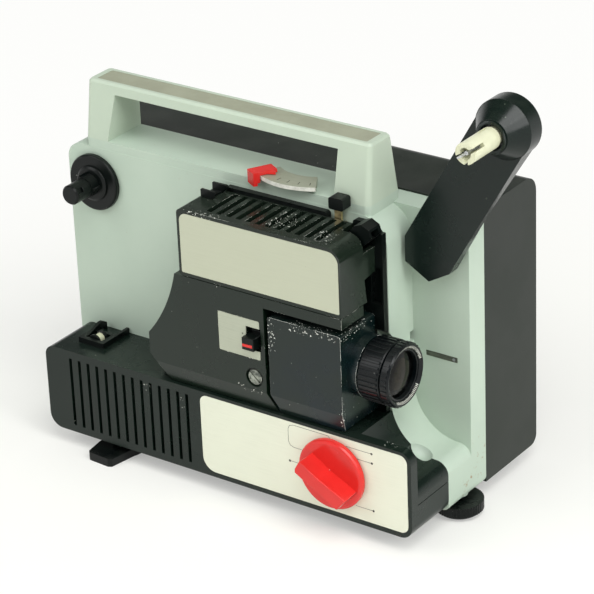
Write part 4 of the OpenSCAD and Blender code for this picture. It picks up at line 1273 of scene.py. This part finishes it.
@dataclass
class Controls(Assembly):
    """The red knob with its marks, the speed lever and its scale."""

    solids: tuple[Rounded, ...] = (
        Rounded("mode_knob", "red_knob", 0.7, Slot.RED, RED_SKIN),
        Rounded("speed_lever", "red_lever", 0.6, Slot.RED, RED_SKIN),
    )
    scale: Rounded = Rounded("speed_scale", "speed_face", 0.25, Slot.PLATE, SCALE_SKIN, WHITE_INK)
    dots: tuple[Flat, ...] = ((-26.5, 48.6), (-26.4, 42.5), (-26.2, 11.5), (-83.9, 27.6))
    leads: tuple[Flat, ...] = ((-43.9, 48.6), (-37.2, 42.5), (-38.3, 11.5), (-75.5, 27.6))
    frame_line: tuple[Flat, ...] = ((-54.8, 50.2), (-56.2, 51.8), (-80.6, 51.8), (-83.2, 50.9),
                                    (-84.3, 48.4), (-84.3, 40.6), (-83.2, 38.1), (-80.6, 37.2),
                                    (-75.0, 37.2))
    dot_r: float = 0.75
    dot_lift: float = 0.04
    line_wide: float = 0.26
    line_lift: float = 0.03
    scale_at: Flat = (-105.9, 72.2)
    scale_top: float = 185.0
    scale_r: float = 40.0
    scale_ticks: tuple[float, ...] = (-8.0, 3.0, 14.0, 25.0)
    tick_r: Flat = (33.5, 36.5)
    tick_wide: float = 0.5
    tick_lift: float = 0.04
    rim: float = 0.7

    def build(self) -> None:
        """Rounds over the controls and prints their marks."""
        super().build()
        self.repaint(self.round_over(self.scale), self._on_rim)
        self.fresh("control_marks", "chassis", Slot.BLACK, INK, self._marks)
        self.fresh("scale_marks", "chassis", Slot.BLACK, INK, self._scale)

    def _on_rim(self, spot: Vector) -> bool:
        """Tells if a place on the scale is on its outer edge."""
        away = math.hypot(spot.x - self.scale_at[0], spot.y - self.scale_at[1])
        return away > self.scale_r - self.rim / 2

    def _marks(self, work: bmesh.types.BMesh) -> None:
        """Draws the dots, the leading lines and the framed corner beside the knob.

        Args:
            work: The mesh, in millimetres.
        """
        for dot, lead in zip(self.dots, self.leads):
            ends = [Vector((x, 0, z)) for x, z in (dot, lead)]
            Bench.dot(work, ends[0], FRONT, self.dot_r, self.dot_lift)
            Bench.line(work, ends, FRONT, self.line_wide, self.line_lift)
        path = [Vector((x, 0, z)) for x, z in self.frame_line]
        Bench.line(work, path, FRONT, self.line_wide, self.line_lift)

    def _scale(self, work: bmesh.types.BMesh) -> None:
        """Draws plain ticks on the speed scale.

        Args:
            work: The mesh, in millimetres.
        """
        middle = Vector((*self.scale_at, self.scale_top))
        for turn in map(math.radians, self.scale_ticks):
            away = Vector((math.sin(turn), -math.cos(turn), 0))
            path = [middle + away * r for r in self.tick_r]
            Bench.line(work, path, Vector((0, 0, 1)), self.tick_wide, self.tick_lift)


@dataclass
class Reels(Assembly):
    """The folding arm and the two reel spindles."""

    arm: Rounded = Rounded("supply_arm", "folding_arm", 0.9, Slot.BASE, ARM_SKIN)
    solids: tuple[Rounded, ...] = (
        Rounded("supply_spindle", "split_spindle", 0.4, Slot.CREAM, CREAM_SKIN),
        Rounded("spindle_clip", "spindle_spring", 0.15, Slot.STEEL, STEEL),
        Rounded("take_up_spindle", "keyed_spindle", 0.4, Slot.BLACK, BLACK_SKIN),
    )
    pivot: Flat = (-19.2, 155.6)
    foot_from: float = 59.9
    foot_r: float = 17.8
    foot_slim: float = 14.5
    near: float = 0.05

    def build(self) -> None:
        """Rounds over the arm and the spindles."""
        self.round_over(self.arm, self._slim_foot)
        super().build()

    def _slim_foot(self, spot: Vector) -> Vector:
        """Draws the round back of the arm's foot in behind the arm.

        Args:
            spot: A corner of the arm, in millimetres.

        Returns:
            Where the corner goes.
        """
        off = Vector((spot.x - self.pivot[0], 0, spot.z - self.pivot[1]))
        if spot.y > self.foot_from and abs(off.length - self.foot_r) < self.near:
            return spot - off * (1 - self.foot_slim / self.foot_r)
        return spot


@dataclass
class FilmExit(Assembly):
    """The guide and roller where the film leaves, and the film cutter."""

    solids: tuple[Rounded, ...] = (
        Rounded("exit_guide", "film_gate", 0.4, Slot.BLACK, BLACK_SKIN),
        Rounded("film_cutter", "cutter_strip", 0.1, Slot.STEEL, DULL_STEEL),
    )
    roller: Rounded = Rounded("exit_roller", "film_roller", 0.3, Slot.CREAM, CREAM_SKIN, BLACK_SKIN)
    waist: Flat = (18.0, 22.0)
    rivet: Spot = (-10.8, 62.95, 84.7)
    rivet_r: float = 1.0
    rivet_lift: float = 0.2

    def build(self) -> None:
        """Rounds over the film's way out, with a pale waist on its roller, and rivets the cutter."""
        super().build()
        low, high = self.waist
        self.repaint(self.round_over(self.roller), lambda spot: not low < spot.y < high)
        self.fresh("cutter_rivet", "chassis", Slot.STEEL, STEEL,
                   lambda work: Bench.dot(work, Vector(self.rivet), FRONT, self.rivet_r, self.rivet_lift))


@dataclass
class Feet(Assembly):
    """The feet under the machine, and the fittings on its back."""

    solids: tuple[Rounded, ...] = (
        Rounded("swing_foot", "front_foot", 0.7, Slot.BLACK, BLACK_SKIN),
        Rounded("level_wheel", "height_wheel", 0.5, Slot.BLACK, BLACK_SKIN),
        Rounded("level_foot", "height_stud", 0.3, Slot.RUBBER, RUBBER_SKIN),
        Rounded("rubber_feet", "back_feet", 0.6, Slot.RUBBER, RUBBER_SKIN),
        Rounded("mains_inlet", "mains_socket", 0.5, Slot.BLACK, BLACK_SKIN),
        Rounded("cover_screws", "back_screws", 0.3, Slot.STEEL, STEEL),
    )
    pin_spots: tuple[Flat, ...] = ((-251.5, 37.0), (-244.5, 37.0))
    pin_r: float = 1.2
    pin_y: Flat = (124.2, 132.0)

    def build(self) -> None:
        """Rounds over the feet and the fittings, and adds the socket's pins."""
        super().build()
        self.fresh("socket_pins", "chassis", Slot.BRASS, BRASS, self._pins)

    def _pins(self, work: bmesh.types.BMesh) -> None:
        """Draws the two pins in the mains socket.

        Args:
            work: The mesh, in millimetres.
        """
        start, end = self.pin_y
        for x, z in self.pin_spots:
            Bench.dot(work, Vector((x, start, z)), Vector((0, 1, 0)), self.pin_r, end - start)


@dataclass
class Works(Assembly):
    """The solids inside, which keep their own shape."""

    steel: tuple[str, ...] = ("chassis_plate", "aperture_plate", "pressure_plate", "filter_holder",
                              "exit_pin", "arm_pivot", "take_up_pulley", "motor", "main_shaft",
                              "shaft_brackets", "sprocket_shaft", "transformer")
    brass: tuple[str, ...] = ("take_up_bush", "motor_rotor")
    lens: tuple[str, ...] = ("lens_barrel", "shutter")
    black: tuple[str, ...] = ("rotary_switch", "cooling_fan")
    rubber: tuple[str, ...] = ("take_up_belt", "drive_belt")
    glass: tuple[str, ...] = ("lamp_bulb", "heat_filter")
    mirror: tuple[str, ...] = ("lamp_reflector",)
    cream: tuple[str, ...] = ("lamp_socket",)

    def build(self) -> None:
        """Notes a finish for each solid."""
        groups = ((self.steel, STEEL, Slot.STEEL), (self.brass, BRASS, Slot.BRASS),
                  (self.lens, LENS_SKIN, Slot.LENS), (self.black, BLACK_SKIN, Slot.BLACK),
                  (self.rubber, RUBBER_SKIN, Slot.RUBBER), (self.glass, LAMP_GLASS, Slot.GLASS),
                  (self.mirror, SCALE_SKIN, Slot.PLATE), (self.cream, CREAM_SKIN, Slot.CREAM))
        for nodes, finish, slot in groups:
            for node in nodes:
                self.keep(frame["nodes"][node], slot, finish)


@dataclass(frozen=True)
class Viewpoint:
    """Where the camera stands, as angles round the part.

    Attributes:
        azimuth: Degrees round the part from its front.
        elevation: Degrees above the floor.
        roll: Lean of the picture, in radians.
        reach: From the camera to the base's corner, in millimetres.
        focal: Focal length, in pixels of the picture.
        side: The picture's side, in pixels.
        corner_at: Where the base's corner lies in the picture, in pixels.
        sensor: The camera's sensor, in millimetres.
        far: How far the camera sees, in metres.
    """

    azimuth: float = 36.33
    elevation: float = 26.04
    roll: float = -0.042
    reach: float = 1600.0
    focal: float = 2824.6
    side: float = 594.0
    corner_at: Flat = (412.5, 541.0)
    sensor: float = 36.0
    far: float = 50.0

    def build(self) -> bpy.types.Object:
        """Makes the camera and sets it as the scene's own.

        Returns:
            The camera.
        """
        a, e = math.radians(self.azimuth), math.radians(self.elevation)
        back = Vector((math.sin(a) * math.cos(e), -math.cos(a) * math.cos(e), math.sin(e)))
        level = Vector((math.cos(a), math.sin(a), 0.0))
        rise = back.cross(level)
        right = level * math.cos(self.roll) + rise * math.sin(self.roll)
        up = rise * math.cos(self.roll) - level * math.sin(self.roll)
        across, down = (p - self.side / 2 for p in self.corner_at)
        sight = right * across / self.focal - up * down / self.focal - back
        data = bpy.data.cameras.new("camera")
        data.sensor_width = self.sensor
        data.lens = self.focal / self.side * self.sensor
        data.clip_end = self.far
        camera = stand("camera", data)
        turn = Matrix((right, up, back)).transposed().to_4x4()
        camera.matrix_world = Matrix.Translation(Bench.place(-self.reach * sight)) @ turn
        bpy.context.scene.camera = camera
        return camera


@dataclass(frozen=True)
class Softbox:
    """A square studio lamp, in metres and watts."""

    name: str
    place: Spot
    side: float
    power: float
    aim: Spot = (0.0, 0.0, 0.1)

    def build(self) -> None:
        """Makes the lamp."""
        data = bpy.data.lights.new(self.name, "AREA")
        data.shape = "SQUARE"
        data.size = self.side
        data.energy = self.power
        lamp = stand(self.name, data)
        lamp.location = self.place
        way = Vector(self.aim) - Vector(self.place)
        lamp.rotation_euler = way.to_track_quat("-Z", "Y").to_euler()


@dataclass(frozen=True)
class Studio:
    """The floor, the lamps and the room.

    Attributes:
        floor_side: The floor's side, in metres.
        floor_parts: Faces along each of its sides.
        floor_tone: Its colour, linear.
        floor_rough: Its roughness.
        floor_white: How far it shows as plain white, under the part and further out.
        floor_reach: From where to where that changes, in metres from the middle.
        white: The plain white, linear.
        room_tone: Colour of the room's light, linear.
        room_light: Strength of the room's light.
        shine: The room's brightness in reflections, at the horizon and overhead.
        shine_rise: From where to where that changes, as the height of a direction.
        lamps: The studio lamps.
    """

    floor_side: float = 8.0
    floor_parts: int = 8
    floor_tone: tuple[float, float, float, float] = (0.92, 0.925, 0.87, 1.0)
    floor_rough: float = 0.9
    floor_white: Flat = (0.36, 0.92)
    floor_reach: Flat = (0.16, 0.6)
    white: tuple[float, float, float, float] = (1.0, 1.0, 0.985, 1.0)
    room_tone: tuple[float, float, float, float] = (1.0, 1.0, 0.99, 1.0)
    room_light: float = 0.42
    shine: Flat = (1.0, 0.08)
    shine_rise: Flat = (0.0, 0.5)
    lamps: tuple[Softbox, ...] = (
        Softbox("key", (-1.3, -1.8, 1.8), side=1.6, power=23.0),
        Softbox("side", (2.1, -0.3, 1.3), side=1.3, power=22.0),
        Softbox("top", (0.95, -0.75, 1.95), side=1.3, power=28.0),
    )

    def build(self) -> None:
        """Makes the floor, the lamps and the room."""
        for lamp in self.lamps:
            lamp.build()
        self._room()
        self._floor()

    def _room(self) -> None:
        """Fills the world with soft light, white at the horizon and dim overhead in reflections."""
        world = bpy.data.worlds.new("room")
        bpy.context.scene.world = world
        wire = Wiring.afresh(world)
        path = wire.node("LightPath")
        way = wire.node("SeparateXYZ", Vector=wire.node("TexCoord").outputs["Generated"])
        shine = wire.span(way.outputs["Z"], *self.shine_rise, *self.shine)
        level = wire.node("Mix", Factor=path.outputs["Is Glossy Ray"], A=self.room_light, B=shine)
        level = wire.math("MAXIMUM", level.outputs[0], path.outputs["Is Camera Ray"])
        level = wire.math("MAXIMUM", level, path.outputs["Is Transmission Ray"])
        wire.leave(wire.node("Background", Color=self.room_tone, Strength=level), "OutputWorld")

    def _floor(self) -> None:
        """Makes the pale floor, partly white to the camera and in reflections so that it stays even."""
        work = bmesh.new()
        bmesh.ops.create_grid(work, x_segments=self.floor_parts, y_segments=self.floor_parts,
                              size=self.floor_side / 2)
        mesh = bpy.data.meshes.new("floor")
        work.to_mesh(mesh)
        work.free()
        floor = stand("floor", mesh)
        skin = bpy.data.materials.new("floor_paper")
        wire = Wiring.afresh(skin)
        paper = wire.node("BsdfPrincipled", Base_Color=self.floor_tone, Roughness=self.floor_rough)
        white = wire.node("Emission", Color=self.white, Strength=1.0)
        path = wire.node("LightPath")
        seen = wire.math("MAXIMUM", path.outputs["Is Camera Ray"], path.outputs["Is Glossy Ray"])
        seen = wire.math("MAXIMUM", seen, path.outputs["Is Transmission Ray"])
        away = wire.vector("LENGTH", wire.node("TexCoord").outputs["Object"])
        share = wire.span(away.outputs["Value"], *self.floor_reach, *self.floor_white)
        both = wire.node("MixShader", Fac=wire.math("MULTIPLY", seen, share))
        wire.feed(paper.outputs[0], both.inputs[1])
        wire.feed(white.outputs[0], both.inputs[2])
        wire.leave(both)
        mesh.materials.append(skin)


def main() -> None:
    """Builds the part's assemblies in order, dresses them and sets the studio."""
    logging.basicConfig(level=logging.INFO, format="%(name)s: %(message)s")
    bpy.context.scene.view_settings.view_transform = "Standard"
    Viewpoint().build()
    effects = Effects()
    for assembly in (Housing(), LampHouse(), Gate(), Controls(), Reels(), FilmExit(), Feet(), Works()):
        assembly.build()
        assembly.dress(effects)
    Studio().build()


if __name__ == "__main__":
    main()
